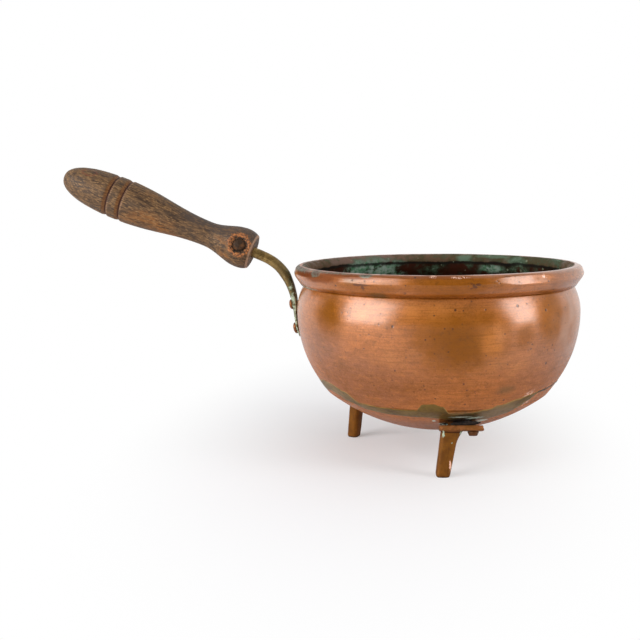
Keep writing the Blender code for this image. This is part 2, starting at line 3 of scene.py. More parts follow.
from math import acos, asin, atan2, copysign, cos, degrees, exp, hypot, pi, radians, sin, sqrt, tan, tau

import bpy
from mathutils import Matrix, Vector, noise


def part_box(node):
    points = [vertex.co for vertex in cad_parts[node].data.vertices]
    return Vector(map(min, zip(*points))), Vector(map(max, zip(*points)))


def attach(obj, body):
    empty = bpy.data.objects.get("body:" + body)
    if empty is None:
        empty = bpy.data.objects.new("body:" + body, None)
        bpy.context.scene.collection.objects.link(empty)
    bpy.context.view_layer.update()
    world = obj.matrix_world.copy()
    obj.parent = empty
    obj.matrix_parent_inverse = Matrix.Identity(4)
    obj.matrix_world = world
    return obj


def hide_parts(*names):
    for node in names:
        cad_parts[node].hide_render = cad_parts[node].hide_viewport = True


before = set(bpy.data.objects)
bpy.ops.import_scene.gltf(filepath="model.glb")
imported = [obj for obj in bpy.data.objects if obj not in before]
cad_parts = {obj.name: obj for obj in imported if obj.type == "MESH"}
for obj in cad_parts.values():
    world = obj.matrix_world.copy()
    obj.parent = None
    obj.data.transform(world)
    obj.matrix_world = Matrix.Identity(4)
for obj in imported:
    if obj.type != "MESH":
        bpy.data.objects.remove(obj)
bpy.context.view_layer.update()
scene = bpy.context.scene
scene.view_settings.view_transform = "Standard"


# Camera
# A short tele lens a little above the rim, level to within a degree, looking down into the bowl.

BOWL_X = 0.0705
RIM_HEIGHT = 0.1117
CAMERA_TURNS = ((7.0, "Z"), (90 - 8.067, "X"), (-0.652, "Z"))


def linked(name, data):
    """A new object in the scene."""
    made = bpy.data.objects.new(name, data)
    scene.collection.objects.link(made)
    return made


lens = bpy.data.cameras.new("camera")
lens.lens = 51.58
lens.sensor_width = 36
lens.shift_x = -7 / 640
lens.shift_y = 1 / 640
camera = linked("camera", lens)
camera_place = Matrix.Translation((BOWL_X + 0.0013, -0.5398, RIM_HEIGHT + 0.0423))
for angle, axis in CAMERA_TURNS:
    camera_place @= Matrix.Rotation(radians(angle), 4, axis)
camera.matrix_world = camera_place
scene.camera = camera


# Studio
# A white table and backdrop in a dim room, with a broad window at the left, a narrow one at the right
# and soft light from above.

WHITE = (1.0, 1.0, 1.0)
TABLE_REACH = 1.6


class Wire:
    """What a shader node puts out. Sums and products with it add the nodes that work them out."""

    def __init__(self, socket):
        self.socket = socket
        self.tree = socket.id_data

    def __add__(self, other):
        return calculate("ADD", self, other)

    def __sub__(self, other):
        return calculate("SUBTRACT", self, other)

    def __rsub__(self, other):
        return calculate("SUBTRACT", other, self)

    def __mul__(self, other):
        return calculate("MULTIPLY", self, other)


class Outputs:
    """The wires of a node, by name or number."""

    def __init__(self, node):
        self.node = node

    def __getitem__(self, name):
        return Wire(self.node.outputs[name])


def add(tree, kind, sources=None, **settings):
    """A new node: its settings, and for each named or numbered input a value or the wire feeding it."""
    node = tree.nodes.new(f"ShaderNode{kind}")
    for name, value in settings.items():
        setattr(node, name, value)
    for name, source in (sources or {}).items():
        socket = node.inputs[name]
        if isinstance(source, Wire):
            tree.links.new(source.socket, socket)
        elif socket.type == "RGBA":
            socket.default_value = (*source, 1.0)
        else:
            socket.default_value = source
    return Outputs(node)


def put(sockets, **wires):
    """Connects wires with the input sockets of these names."""
    for name, wire in wires.items():
        wire.tree.links.new(wire.socket, sockets[name])


def tree_of(values):
    return next(value.tree for value in values if isinstance(value, Wire))


def calculate(operation, *values):
    return add(tree_of(values), "Math", dict(enumerate(values)), operation=operation)[0]


def vectors(operation, *values):
    """The result of vector maths: a number for a length or a dot product, else a vector."""
    result = "Value" if operation in ("LENGTH", "DOT_PRODUCT") else "Vector"
    return add(tree_of(values), "VectorMath", dict(enumerate(values)), operation=operation)[result]


def greatest(first, *others):
    for other in others:
        first = calculate("MAXIMUM", first, other)
    return first


def split(vector):
    return add(vector.tree, "SeparateXYZ", {0: vector})


def rise(value, low, high, start=0.0, end=1.0):
    """Goes smoothly from start to end while the value goes from low to high."""
    sources = {"Value": value, "From Min": low, "From Max": high, "To Min": start, "To Max": end}
    return add(value.tree, "MapRange", sources, interpolation_type="SMOOTHSTEP")["Result"]


def mixed(share, first, second):
    """A colour between two colours."""
    return add(share.tree, "Mix", {0: share, 6: first, 7: second}, data_type="RGBA")[2]


def tinted(first, value, low, high, second, strength=1.0):
    """A colour that goes towards a second one while a value goes from low to high."""
    return mixed(rise(value, low, high, 0.0, strength), first, second)


def object_place(tree):
    return add(tree, "TexCoord")["Object"]


def stretched(place, scale):
    return add(place.tree, "Mapping", {"Vector": place, "Scale": scale})["Vector"]


def cloud(place, scale, detail=3.0, roughness=0.5, distortion=0.0, flat=None):
    """Soft random spots from 0 to 1. Flat above 1 makes them lower than wide, below 1 taller."""
    if flat:
        place = stretched(place, (1, 1, flat))
    sources = {"Vector": place, "Scale": scale, "Detail": detail, "Roughness": roughness}
    sources["Distortion"] = distortion
    return add(place.tree, "TexNoise", sources)["Fac"]


def new_material(name):
    """A material, its empty node tree and the input sockets of its output node."""
    material = bpy.data.materials.new(name)
    material.use_nodes = True
    tree = material.node_tree
    tree.nodes.clear()
    return material, tree, tree.nodes.new("ShaderNodeOutputMaterial").inputs


world = bpy.data.worlds.new("studio")
world.use_nodes = True
scene.world = world
sky = world.node_tree
sky.nodes.clear()
ray = add(sky, "LightPath")
direction = split(add(sky, "TexCoord")["Generated"])
backdrop = rise(direction["Y"], -0.30, 0.35)
room = rise(direction["Z"], 0.1, 0.9, 0.04, 0.30)
seen = mixed(backdrop, add(sky, "CombineXYZ", {0: room, 1: room, 2: room})[0], WHITE)
seen = mixed(ray["Is Camera Ray"], seen, WHITE)
seen_ray = greatest(ray["Is Camera Ray"], ray["Is Glossy Ray"], ray["Is Transmission Ray"])
shown = add(sky, "Background", {"Color": seen, "Strength": 1.0})[0]
lighting = add(sky, "Background", {"Color": WHITE, "Strength": 0.36})[0]
sky_mix = add(sky, "MixShader", {0: seen_ray, 1: lighting, 2: shown})[0]
add(sky, "OutputWorld", {"Surface": sky_mix})

for name, azimuth, elevation, distance, width, height, radiance in (
    ("left_window", -146, 18, 1.1, 0.76, 0.80, 6.0),
    ("right_window", -20, 17, 1.2, 0.50, 0.80, 6.4),
    ("ceiling", -60, 78, 1.2, 0.90, 0.90, 0.50),
):
    lamp = bpy.data.lights.new(name, "AREA")
    lamp.shape = "RECTANGLE"
    lamp.size = width
    lamp.size_y = height
    lamp.energy = radiance * pi * width * height
    turn, up = radians(azimuth), radians(elevation)
    away = Vector((cos(turn) * cos(up), sin(turn) * cos(up), sin(up)))
    light = linked(name, lamp)
    light.rotation_euler = away.to_track_quat("Z", "Y").to_euler()
    light.location = Vector((BOWL_X, 0, 0.07)) + away * distance

table_mesh = bpy.data.meshes.new("table")
corners = [(x * TABLE_REACH, y * TABLE_REACH, 0) for x, y in ((-1, -1), (1, -1), (1, 1), (-1, 1))]
table_mesh.from_pydata(corners, [], [(0, 1, 2, 3)])
table = linked("table", table_mesh)
material, tree, output = new_material("white_table")
from_pan = vectors("SUBTRACT", object_place(tree), (0.03, 0.03, 0))
spread = vectors("LENGTH", stretched(from_pan, (1, 0.5, 1)))
paper = add(tree, "BsdfPrincipled", {"Base Color": (0.90, 0.89, 0.92), "Roughness": 0.9})[0]
white = add(tree, "Emission", {"Color": WHITE, "Strength": 1.0})[0]
ray = add(tree, "LightPath")
far_away = greatest(ray["Is Glossy Ray"], ray["Is Transmission Ray"]) * rise(spread, 0.15, 0.70)
fade = greatest(ray["Is Camera Ray"] * rise(spread, 0.0, 0.17, 0.25, 1.0), far_away)
put(output, Surface=add(tree, "MixShader", {0: fade, 1: paper, 2: white})[0])
table_mesh.materials.append(material)


# Bowl wall
# One copper sheet, raised and planished by hand, drawn in at the neck and rolled outwards over a wire.
# Outside it is brushed and tarnished in ochre patches; inside it is black with green corrosion.

SHEET = 0.0012
NECK_DROP, NECK_RADIUS = 0.0105, 0.0773
BELLY_DROP, BELLY_RADIUS, BELLY_FALL, BELLY_POWER = 0.0268, 0.0822, 0.0756, 2.02
SEAM_DROP, SEAM_RADIUS = 0.0735, 0.0650
BOWL_DEPTH = 0.0970
ROLL_RADIUS = 0.0043
ROLL_CENTRE = Vector((0.0791, RIM_HEIGHT - ROLL_RADIUS))
FLAT_TILT = radians(20)
SKIRT_DROP, SKIRT_SLIT = 0.0113, 0.0006
RIM_ZONE, RIM_FADE, RIM_SAG = 0.016, 0.010, 0.00012
HAMMER_DENTS, HAMMER_GRAIN, SEAM_FADE = 0.00018, 0.000045, 0.006
BALL_RISE = BOWL_DEPTH - SEAM_DROP
BALL_RADIUS = (SEAM_RADIUS**2 + BALL_RISE**2) / (2 * BALL_RISE)
BALL_HEIGHT = RIM_HEIGHT - BOWL_DEPTH + BALL_RADIUS
WALL_STEPS, ROLL_STEPS, ROUND_STEPS = 47, 40, 288


def clamped(value):
    return min(1.0, max(0.0, value))


def wall_radius(drop):
    """The wall's outer radius at a depth below the rim's top."""
    if drop < BELLY_DROP:
        share = (drop - NECK_DROP) / (BELLY_DROP - NECK_DROP)
        return BELLY_RADIUS - (BELLY_RADIUS - NECK_RADIUS) * (1 - share) ** 2
    fall = (drop - BELLY_DROP) / BELLY_FALL
    return BELLY_RADIUS * (1 - fall**BELLY_POWER) ** (1 / BELLY_POWER)


def base_height(radius):
    """The height of the base's underside at a radius."""
    return BALL_HEIGHT - sqrt(BALL_RADIUS**2 - radius**2)


def directions(path):
    """The way that a path runs at each of its points."""
    last = len(path) - 1
    return [(path[min(i + 1, last)] - path[max(i - 1, 0)]).normalized() for i in range(last + 1)]


def offset(path, distance):
    """A path moved sideways, to the left of the way that it runs."""
    return [point + Vector((-way.y, way.x)) * distance for point, way in zip(path, directions(path))]


def uneven(point, size, seed):
    """Smooth random unevenness from -1 to 1 with a given size of bump."""
    return noise.noise(point / size + Vector((seed, 2 * seed, 3 * seed)))


def hump(value, centre, reach):
    """1 at the centre, falling smoothly to almost 0 at twice the reach."""
    return exp(-(((value - centre) / reach) ** 2))


def skin(name, rings, loop=False):
    """A smooth mesh object over rings that all have as many points; an open row of rings gets end caps."""
    count = len(rings[0])
    points = [point for ring in rings for point in ring]
    faces = []
    for i in range(len(rings) if loop else len(rings) - 1):
        lower, upper = i * count, (i + 1) % len(rings) * count
        for k in range(count):
            j = (k + 1) % count
            faces.append((lower + k, lower + j, upper + j, upper + k))
    if not loop:
        faces.append(tuple(range(count))[::-1])
        faces.append(tuple(range(len(points) - count, len(points))))
    mesh = bpy.data.meshes.new(name)
    mesh.from_pydata(points, [], faces)
    mesh.shade_smooth()
    return linked(name, mesh)


def store(obj, name, values):
    """Keeps a number for each point of a piece, for its material to read."""
    obj.data.attributes.new(name, "FLOAT", "POINT").data.foreach_set("value", values)


def finish(obj, material, node=None):
    """Gives a piece its material and its place in the frame."""
    obj.data.materials.append(material)
    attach(obj, "root")
    if node:
        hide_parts(node)


def round_bowl(radius, height, azimuth):
    return Vector((BOWL_X + radius * cos(azimuth), radius * sin(azimuth), height))


def planished(point, amount=1.0):
    """How far hammering pushed the sheet in at a point. It fades out towards the seam."""
    slow = 1 + uneven(point, 0.030, 3.1)
    quick = 1 + uneven(point, 0.009, 7.7)
    from_seam = min(1.0, abs(point.z - RIM_HEIGHT + SEAM_DROP) / SEAM_FADE)
    return amount * from_seam * (HAMMER_DENTS * slow + HAMMER_GRAIN * quick)


def rim_sag(azimuth):
    """How far the rolled rim lies below its true height."""
    return RIM_SAG * (1 + uneven(Vector((degrees(azimuth), 0, 0)), 23, 1.3))


def flattened(point, azimuth):
    """A point of the section where knocks have flattened the roll's outer side, most in two places."""
    angle = degrees(azimuth) - 360 * (azimuth > pi)
    waves = 1 + 0.6 * uneven(Vector((angle, 0, 0)), 7, 4.4)
    depth = 0.00025 * waves + 0.00055 * hump(angle, -54, 8) * waves + 0.0003 * hump(angle, -112, 10)
    facing = Vector((cos(FLAT_TILT), sin(FLAT_TILT)))
    beyond = (point - ROLL_CENTRE).dot(facing) - (ROLL_RADIUS - depth)
    return point - facing * max(0.0, beyond)


def wall_section():
    """The sheet's cross-section as points (radius, height), and how far inside the pan each one lies."""
    drops = [NECK_DROP + (SEAM_DROP - NECK_DROP) * k / WALL_STEPS for k in range(WALL_STEPS + 1)]
    outside = [Vector((wall_radius(drop), RIM_HEIGHT - drop)) for drop in drops]
    inside = offset(outside, -SHEET)
    neck = (outside[0] + inside[0]) / 2
    skirt = Vector((wall_radius(SKIRT_DROP) + SKIRT_SLIT + SHEET / 2, RIM_HEIGHT - SKIRT_DROP))
    middle = ROLL_RADIUS - SHEET / 2
    turns = []
    for point, side in ((skirt, 1), (neck, -1)):
        line = point - ROLL_CENTRE
        turns.append(atan2(line.y, line.x) + side * acos(middle / line.length))
    start, end = turns[0], turns[1] + tau
    angles = [start + (end - start) * k / ROLL_STEPS for k in range(ROLL_STEPS + 1)]
    roll = [ROLL_CENTRE + Vector((cos(angle), sin(angle))) * middle for angle in angles]
    lip = [skirt, skirt.lerp(roll[0], 0.5), *roll, roll[-1].lerp(neck, 0.5), neck]
    lip_outside = offset(lip, -SHEET / 2)[:-1]
    lip_inside = offset(lip, SHEET / 2)[:-1]
    shares = [clamped((ROLL_CENTRE.x + 0.0015 - point.x) / 0.004) for point in lip_outside]
    shares += [1.0] * len(inside) + [0.0] * (len(outside) + len(lip_inside))
    return [*lip_outside, *inside, *outside[::-1], *lip_inside[::-1]], shares


section, inside_shares = wall_section()
rings = []
for step in range(ROUND_STEPS):
    azimuth = tau * step / ROUND_STEPS
    sag = rim_sag(azimuth)
    ring = []
    for point in section:
        near_rim = clamped((point.y - RIM_HEIGHT + RIM_ZONE) / RIM_FADE)
        push = planished(round_bowl(point.x, point.y, azimuth), 1 - 0.6 * near_rim)
        flat = flattened(point, azimuth)
        ring.append(round_bowl(flat.x - push, flat.y - sag * near_rim, azimuth))
    rings.append(ring)
wall = skin("bowl_wall_sheet", rings, loop=True)
store(wall, "inside", inside_shares * ROUND_STEPS)

# Where the copper is cleaner than round about, above 0, or has a pale veil, below 0. The pale veil, near
# the bowl's left and right outline, is a painted reflection of the white backdrop at a grazing angle.
CLEAN_AND_PALE_REFLECTION_PLACES = (
    # azimuth, drop, half width, half height, strength, in degrees and millimetres
    (-92, 19, 17, 6, 0.75),
    (-69, 33, 6, 8, 0.95),
    (-104, 43, 14, 9, 0.35),
    (-60, 47, 14, 8, 0.50),
    (-27, 32, 14, 22, -0.60),
    (-165, 34, 10, 20, -0.25),
)


def clean_and_reflection_tone_at(point):
    angle = degrees(atan2(point.y, point.x - BOWL_X))
    drop = (RIM_HEIGHT - point.z) * 1000
    clean_and_reflection_tone = 0.0
    for centre, middle_drop, half_width, half_height, strength in CLEAN_AND_PALE_REFLECTION_PLACES:
        far = hypot((angle - centre) / half_width, (drop - middle_drop) / half_height)
        clean_and_reflection_tone += strength * exp(-(far**2))
    return clean_and_reflection_tone * (1 + 0.8 * uneven(point, 0.007, 2.9))


store(wall, "clean_and_reflection_tone", [clean_and_reflection_tone_at(vertex.co) for vertex in wall.data.vertices])


def new_group(name, inputs, outputs):
    """A shader node group from the names of its sockets by kind, with its wires and its result sockets."""
    group = bpy.data.node_groups.new(name, "ShaderNodeTree")
    for in_out, kinds in (("INPUT", inputs), ("OUTPUT", outputs)):
        for kind, labels in kinds.items():
            for label in labels:
                group.interface.new_socket(label, in_out=in_out, socket_type=f"NodeSocket{kind}")
    entry = group.nodes.new("NodeGroupInput")
    result = group.nodes.new("NodeGroupOutput")
    return group, Outputs(entry), result.inputs


def use_group(tree, group, sources=None):
    return add(tree, "Group", sources, node_tree=group)


# Place on the bowl: degrees round its axis and millimetres below the rim's top.
place_on_bowl, _, results = new_group("place_on_bowl", {}, {"Vector": ("Place",)})
parts = split(vectors("SUBTRACT", object_place(place_on_bowl), (BOWL_X, 0, 0)))
round_angle = calculate("DEGREES", calculate("ARCTAN2", parts["Y"], parts["X"]))
down = (RIM_HEIGHT - parts["Z"]) * 1000.0
put(results, Place=add(place_on_bowl, "CombineXYZ", {0: round_angle, 1: down})[0])

# A blot with a frayed edge at a place on the bowl.
blot, entries, results = new_group(
    "blot",
    {"Vector": ("Place", "Centre", "Half size"), "Float": ("Fray", "Cloud", "Softness")},
    {"Float": ("Mask",)},
)
apart = split(vectors("SUBTRACT", entries["Place"], entries["Centre"]))
wrapped = calculate("WRAP", apart["X"], 180.0, -180.0)
apart = add(blot, "CombineXYZ", {0: wrapped, 1: apart["Y"]})[0]
far = vectors("LENGTH", vectors("DIVIDE", apart, entries["Half size"]))
far = far + (entries["Cloud"] - 0.5) * entries["Fray"]
put(results, Mask=rise(far, entries["Softness"] + 1.0, 1.0 - entries["Softness"]))


def blots(place, ragged, marks):
    """The strongest of several blots: (azimuth, drop, half width, half height, softness, fray, strength)."""
    strongest = None
    for azimuth, drop, half_width, half_height, softness, fray, strength in marks:
        sources = {"Place": place, "Centre": (azimuth, drop, 0), "Half size": (half_width, half_height, 1)}
        sources |= {"Fray": fray, "Cloud": ragged, "Softness": softness}
        mask = use_group(place.tree, blot, sources)["Mask"] * strength
        strongest = greatest(strongest, mask) if strongest else mask
    return strongest


# Small dark pits: a few of the cells of a cell pattern have one.
pits, entries, results = new_group("pits", {"Float": ("Scale", "Share", "Size")}, {"Float": ("Mask",)})
cells = add(pits, "TexVoronoi", {"Vector": object_place(pits), "Scale": entries["Scale"]})
chance = add(pits, "SeparateColor", {0: cells["Color"]})
picked = calculate("LESS_THAN", chance["Red"], entries["Share"])
width = entries["Size"] * (chance["Green"] + 0.4)
put(results, Mask=rise(cells["Distance"], width, width * 0.4) * picked)


def pitted(tree, scale, share, size):
    return use_group(tree, pits, {"Scale": scale, "Share": share, "Size": size})["Mask"]


# Aged copper, the same on wall and base: its colour, with some painted reflections and glints, its
# roughness, height and how much of its polish is left.
# The marks name their values in the order that blots takes them.
OCHRE_MARKS = (
    (-135, 24, 8, 13, 0.6, 1.2, 0.75),
    (-82, 34, 16, 16, 0.7, 1.2, 0.95),
    (-84, 5, 18, 6, 0.5, 1.0, 0.8),
    (-115, 7, 16, 4, 0.5, 1.0, 0.6),
    (-56, 33, 5, 6, 0.7, 1.8, 0.5),
    (-42, 24, 8, 15, 0.5, 0.8, 0.9),
    (-30, 30, 10, 13, 0.5, 0.8, 0.6),
    (-67, 27, 5, 6, 0.6, 1.2, 0.55),
    (120, 34, 24, 12, 0.5, 0.9, 0.8),
    (50, 40, 16, 12, 0.5, 0.9, 0.7),
)
DEEPEST_MARKS = (
    (-133, 22, 6, 9, 0.7, 1.6, 0.7),
    (-56, 33, 3, 6, 0.8, 2.0, 0.25),
    (-80, 36, 12, 11, 0.9, 1.4, 0.35),
)
PINK_MARKS = (
    (-140, 42, 12, 12, 0.6, 1.0, 0.9),
    (-124, 58, 28, 15, 0.6, 0.8, 0.85),
    (-38, 52, 24, 16, 0.6, 0.8, 0.6),
    (-90, 92, 80, 9, 0.4, 0.5, 0.8),
    (-30, 4, 14, 7, 0.5, 0.8, 0.8),
)
SMUDGES = (
    (-60, 61.5, 3.5, 2.2, 0.8, 1.2, 0.6),
    (-77, 77, 13, 4.0, 0.5, 1.2, 0.8),
    (-112, 11.0, 4, 1.4, 0.6, 1.2, 0.8),
    (-122, 3.5, 4, 2.0, 0.7, 1.6, 0.5),
)
RIM_STAINS = (
    (-168, 0.8, 22, 1.7, 0.4, 1.2, 0.95),
    (-136, 0.3, 14, 0.7, 0.5, 1.6, 0.8),
    (-142.5, 1.6, 3.2, 1.9, 0.3, 1.2, 0.9),
    (-116, 0.6, 2.4, 1.3, 0.3, 1.2, 1.0),
    (178, 4.5, 14, 6.0, 0.5, 1.2, 0.8),
)
RED_STREAKS = (
    (-150, 2.8, 13, 1.7, 0.4, 1.0, 0.95),
    (-139, 3.6, 12, 2.6, 0.4, 1.0, 0.8),
    (-126, 1.6, 18, 1.5, 0.5, 1.0, 0.8),
    (-100, 0.9, 24, 1.0, 0.6, 1.0, 0.6),
    (-62, 0.9, 14, 0.9, 0.6, 1.0, 0.4),
)
CRACKS = (
    (-77, 5.4, 1.0, 1.7, 0.25, 3.4, 0.85),
    (-75.5, 4.6, 1.6, 0.6, 0.3, 3.4, 0.8),
    (-118, 5.6, 3.4, 0.6, 0.4, 3.0, 0.8),
    (-117, 6.8, 0.7, 1.6, 0.4, 3.0, 0.8),
)
NECK_DEPOSITS = ((-156, 11.2, 11, 0.7, 0.4, 2.0, 0.9), (-173, 11.0, 6, 2.2, 0.4, 1.8, 0.9))
# Pale pink streaks: the first is scratches on the wall; the three on the rim's top edge are painted glints.
SCRATCHES_AND_GLINTS = (
    (-44.5, 70.0, 3.6, 4.6, 0.4, 1.2, 1.0),
    (-91.1, 0.7, 1.0, 0.6, 0.4, 1.6, 0.9),
    (-82.0, 1.1, 2.4, 0.5, 0.4, 2.0, 0.8),
    (-47.8, 2.1, 1.0, 1.0, 0.4, 1.6, 0.9),
)
# Near black in the gap above each leg's plate: partly black corrosion, partly painted shade of the gap.
BLACK_AND_SHADE_BY_FRONT_LEG = (-76, 81.4, 9.5, 2.6, 0.4, 2.2, 0.95)
BLACK_AND_SHADE_BY_OTHER_LEGS = ((145, 80, 12, 3.0, 0.3, 1.2, 0.9), (79, 80, 12, 3.0, 0.3, 1.2, 0.9))
MINT_MARKS = (
    (-69, 79.3, 3.6, 0.8, 0.4, 2.4, 1.0),
    (-61, 82.5, 3.2, 0.9, 0.4, 2.4, 1.0),
    (-84, 83.6, 4.0, 0.7, 0.4, 2.4, 1.0),
    (-90.9, 81.1, 1.0, 0.5, 0.3, 1.2, 1.0),
    (-77, 78.0, 5.0, 0.5, 0.5, 3.0, 0.7),
)
MINT = (0.56, 0.68, 0.56)

aged_copper, _, results = new_group(
    "aged_copper", {}, {"Color": ("Color",), "Float": ("Roughness", "Height", "Polish")}
)
here = object_place(aged_copper)
place = use_group(aged_copper, place_on_bowl)["Place"]
below_rim = split(place)["Y"]
broad = cloud(here, 22, 4, 0.6)
middling = cloud(here, 85, 5, 0.6)
fine = cloud(here, 420, 4, 0.6)
brushed = cloud(here, 55, 6, 0.65, flat=16)
ochre = greatest(blots(place, middling, OCHRE_MARKS), rise(broad, 0.58, 0.75, 0.0, 0.5))
not_ochre = 1.0 - ochre
colour = mixed(ochre, (0.47, 0.140, 0.020), (0.28, 0.083, 0.0))
deepest = blots(place, middling, DEEPEST_MARKS)
colour = mixed(deepest, colour, (0.16, 0.050, 0.0))
colour = mixed(blots(place, middling, PINK_MARKS), colour, (0.27, 0.093, 0.034))
colour = tinted(colour, middling, 0.50, 0.74, (0.20, 0.060, 0.003), 0.55)
islands = cloud(here, 190, 5, 0.7, flat=1.7)
colour = tinted(colour, islands, 0.52, 0.60, (0.21, 0.062, 0.004), 0.35)
colour = mixed(rise(islands, 0.50, 0.36, 0.0, 0.35) * not_ochre, colour, (0.58, 0.19, 0.035))
colour = tinted(colour, brushed, 0.35, 0.75, (0.22, 0.066, 0.004), 0.40)
speckled = rise(fine, 0.56, 0.66) * rise(middling, 0.42, 0.6, 0.1, 0.6)
colour = mixed(speckled, colour, (0.17, 0.055, 0.004))
clean_and_reflection_tone = add(aged_copper, "Attribute", attribute_name="clean_and_reflection_tone")["Fac"]
colour = tinted(colour, clean_and_reflection_tone, 0.0, 1.0, (0.52, 0.175, 0.030))
lines = cloud(here, 60, 5, 0.7, flat=26)
colour = tinted(colour, lines, 0.48, 0.64, (0.20, 0.062, 0.001), 0.42)
grit = cloud(here, 1200, 2, 0.7)
colour = tinted(colour, grit, 0.54, 0.70, (0.14, 0.045, 0.002), 0.45)
colour = mixed(rise(grit, 0.44, 0.32, 0.0, 0.30) * not_ochre, colour, (0.60, 0.22, 0.060))
# Painted reflection: the pale veil near the bowl's outline stands in for the white backdrop at a grazing
# angle.
colour = tinted(colour, clean_and_reflection_tone, 0.0, -1.0, (0.40, 0.215, 0.135))
colour = mixed(blots(place, middling, SMUDGES), colour, (0.12, 0.066, 0.014))
rim_stain = blots(place, fine, RIM_STAINS)
red_streak = blots(place, middling, RED_STREAKS)
colour = mixed(red_streak, colour, (0.14, 0.034, 0.008))
colour = mixed(rim_stain, colour, tinted((0.150, 0.150, 0.110), fine, 0.42, 0.58, (0.105, 0.068, 0.052)))
polish = rise(below_rim, 40.0, 62.0, 1.0, 0.45) * rise(ochre, 0.0, 1.0, 1.0, 0.35)
polish = polish * rise(greatest(rim_stain, red_streak, deepest), 0.0, 1.0, 1.0, 0.15)
# A pale line along the roll's top edge: partly wear, partly a painted reflection of the white backdrop where
# the roll's top turns out of view.
worn_and_glinting_edge = rise(below_rim, 0.42, 0.18) * rise(middling, 0.42, 0.56, 0.2, 0.9)
colour = mixed(worn_and_glinting_edge, colour, (0.52, 0.29, 0.22))
colour = mixed(blots(place, fine, CRACKS), colour, (0.10, 0.035, 0.012))
deposit = blots(place, fine, NECK_DEPOSITS)
colour = mixed(deposit, colour, tinted((0.62, 0.55, 0.36), fine, 0.35, 0.6, (0.22, 0.32, 0.22)))
# Scratches on the wall, and painted glints along the rim's top edge.
scratch_and_glint_places = blots(place, fine, SCRATCHES_AND_GLINTS)
scratch_and_glint_streaks = scratch_and_glint_places * rise(cloud(here, 900, 2, 0.5, 1.5, flat=0.5), 0.48, 0.54)
colour = mixed(scratch_and_glint_streaks, colour, (0.95, 0.62, 0.48))
# Near black above the leg plates: partly black corrosion, partly painted shade of the gap.
black_and_painted_shade = blots(place, fine, (BLACK_AND_SHADE_BY_FRONT_LEG, *BLACK_AND_SHADE_BY_OTHER_LEGS))
colour = mixed(black_and_painted_shade, colour, (0.012, 0.010, 0.008))
colour = mixed(blots(place, fine, MINT_MARKS), colour, MINT)
pit_mask = pitted(aged_copper, 190.0, 0.52, 0.14)
small_pits = pitted(aged_copper, 420.0, 0.45, 0.24) * rise(middling, 0.42, 0.58)
pit_mask = greatest(pit_mask, small_pits * 0.8)
colour = mixed(pit_mask * 0.85, colour, (0.05, 0.022, 0.010))
roughness = rise(fine + middling, 0.7, 1.3, 0.38, 0.52)
bumps = brushed * 0.25 + fine * 0.25 + lines * 0.40 - pit_mask * 0.9
put(results, Color=colour, Roughness=roughness, Height=bumps, Polish=polish)

# Corrosion inside the pan: black and maroon oxide under green crusts, with a painted shadow below the rim's
# bead.
BEAD_GREEN_MARKS = (
    (76, 3, 3.5, 3, 0.5, 1.6, 0.9),
    (48, 3.5, 5, 2.5, 0.5, 1.6, 0.9),
    (60, 1, 8, 1.2, 0.5, 1.8, 0.7),
)
inside_patina, _, results = new_group(
    "inside_patina", {}, {"Color": ("Color",), "Float": ("Roughness", "Height")}
)
here = object_place(inside_patina)
place = use_group(inside_patina, place_on_bowl)["Place"]
below_rim = split(place)["Y"]
broad = cloud(here, 40, 5, 0.65)
fine = cloud(here, 260, 5, 0.65)
dark = tinted((0.016, 0.009, 0.003), broad, 0.4, 0.62, (0.046, 0.010, 0.004))
bead = tinted((0.120, 0.066, 0.038), broad, 0.42, 0.58, (0.060, 0.050, 0.020))
bead = mixed(blots(place, fine, ((130, 2, 22, 4, 0.6, 1.2, 0.8),)), bead, (0.21, 0.125, 0.100))
bead = mixed(blots(place, fine, BEAD_GREEN_MARKS), bead, (0.11, 0.17, 0.11))
ragged_drop = below_rim + rise(broad, 0.3, 0.7, -0.8, 0.8)
colour = mixed(rise(ragged_drop, 5.4, 4.6), dark, bead)
crust = cloud(here, 62, 6, 0.7, 0.4, flat=1.8)
bright = blots(place, fine, ((124, 12, 18, 9, 0.5, 1.0, 1.0), (62, 9, 6, 3, 0.5, 1.4, 0.7)))
crust = crust + bright * 0.16
green = rise(crust + fine * 0.5, 0.74, 0.92, 0.0, 0.85)
colour = mixed(green, colour, (0.050, 0.080, 0.045))
colour = tinted(colour, crust + fine * 0.7, 0.98, 1.14, (0.15, 0.22, 0.15))
verdant = tinted((0.09, 0.25, 0.13), fine, 0.38, 0.60, (0.34, 0.44, 0.36))
colour = mixed(bright * green, colour, verdant)
# Painted shadow: a dark line below the bead on the rim's inside, where the neck's ridge shades the wall.
painted_crease_shadow = rise(ragged_drop, 4.6, 5.4) * rise(ragged_drop, 7.5, 6.0)
colour = mixed(painted_crease_shadow * 0.85, colour, (0.008, 0.007, 0.005))
colour = mixed(pitted(inside_patina, 260.0, 0.25, 0.22) * 0.5, colour, (0.30, 0.34, 0.22))
put(results, Color=colour, Roughness=rise(fine, 0.35, 0.65, 0.42, 0.80), Height=fine * 0.5 + green)


def raised(height, strength, depth):
    return add(height.tree, "Bump", {"Strength": strength, "Distance": depth, "Height": height})[0]


def surfaced(output, colour, roughness, normal=None, metallic=0.0, specular=0.5, coat=None):
    """Gives a material its surface."""
    sources = {"Base Color": colour, "Metallic": metallic, "Roughness": roughness}
    sources |= {"Specular IOR Level": specular, **(coat or {})}
    if normal:
        sources["Normal"] = normal
    put(output, Surface=add(colour.tree, "BsdfPrincipled", sources)[0])


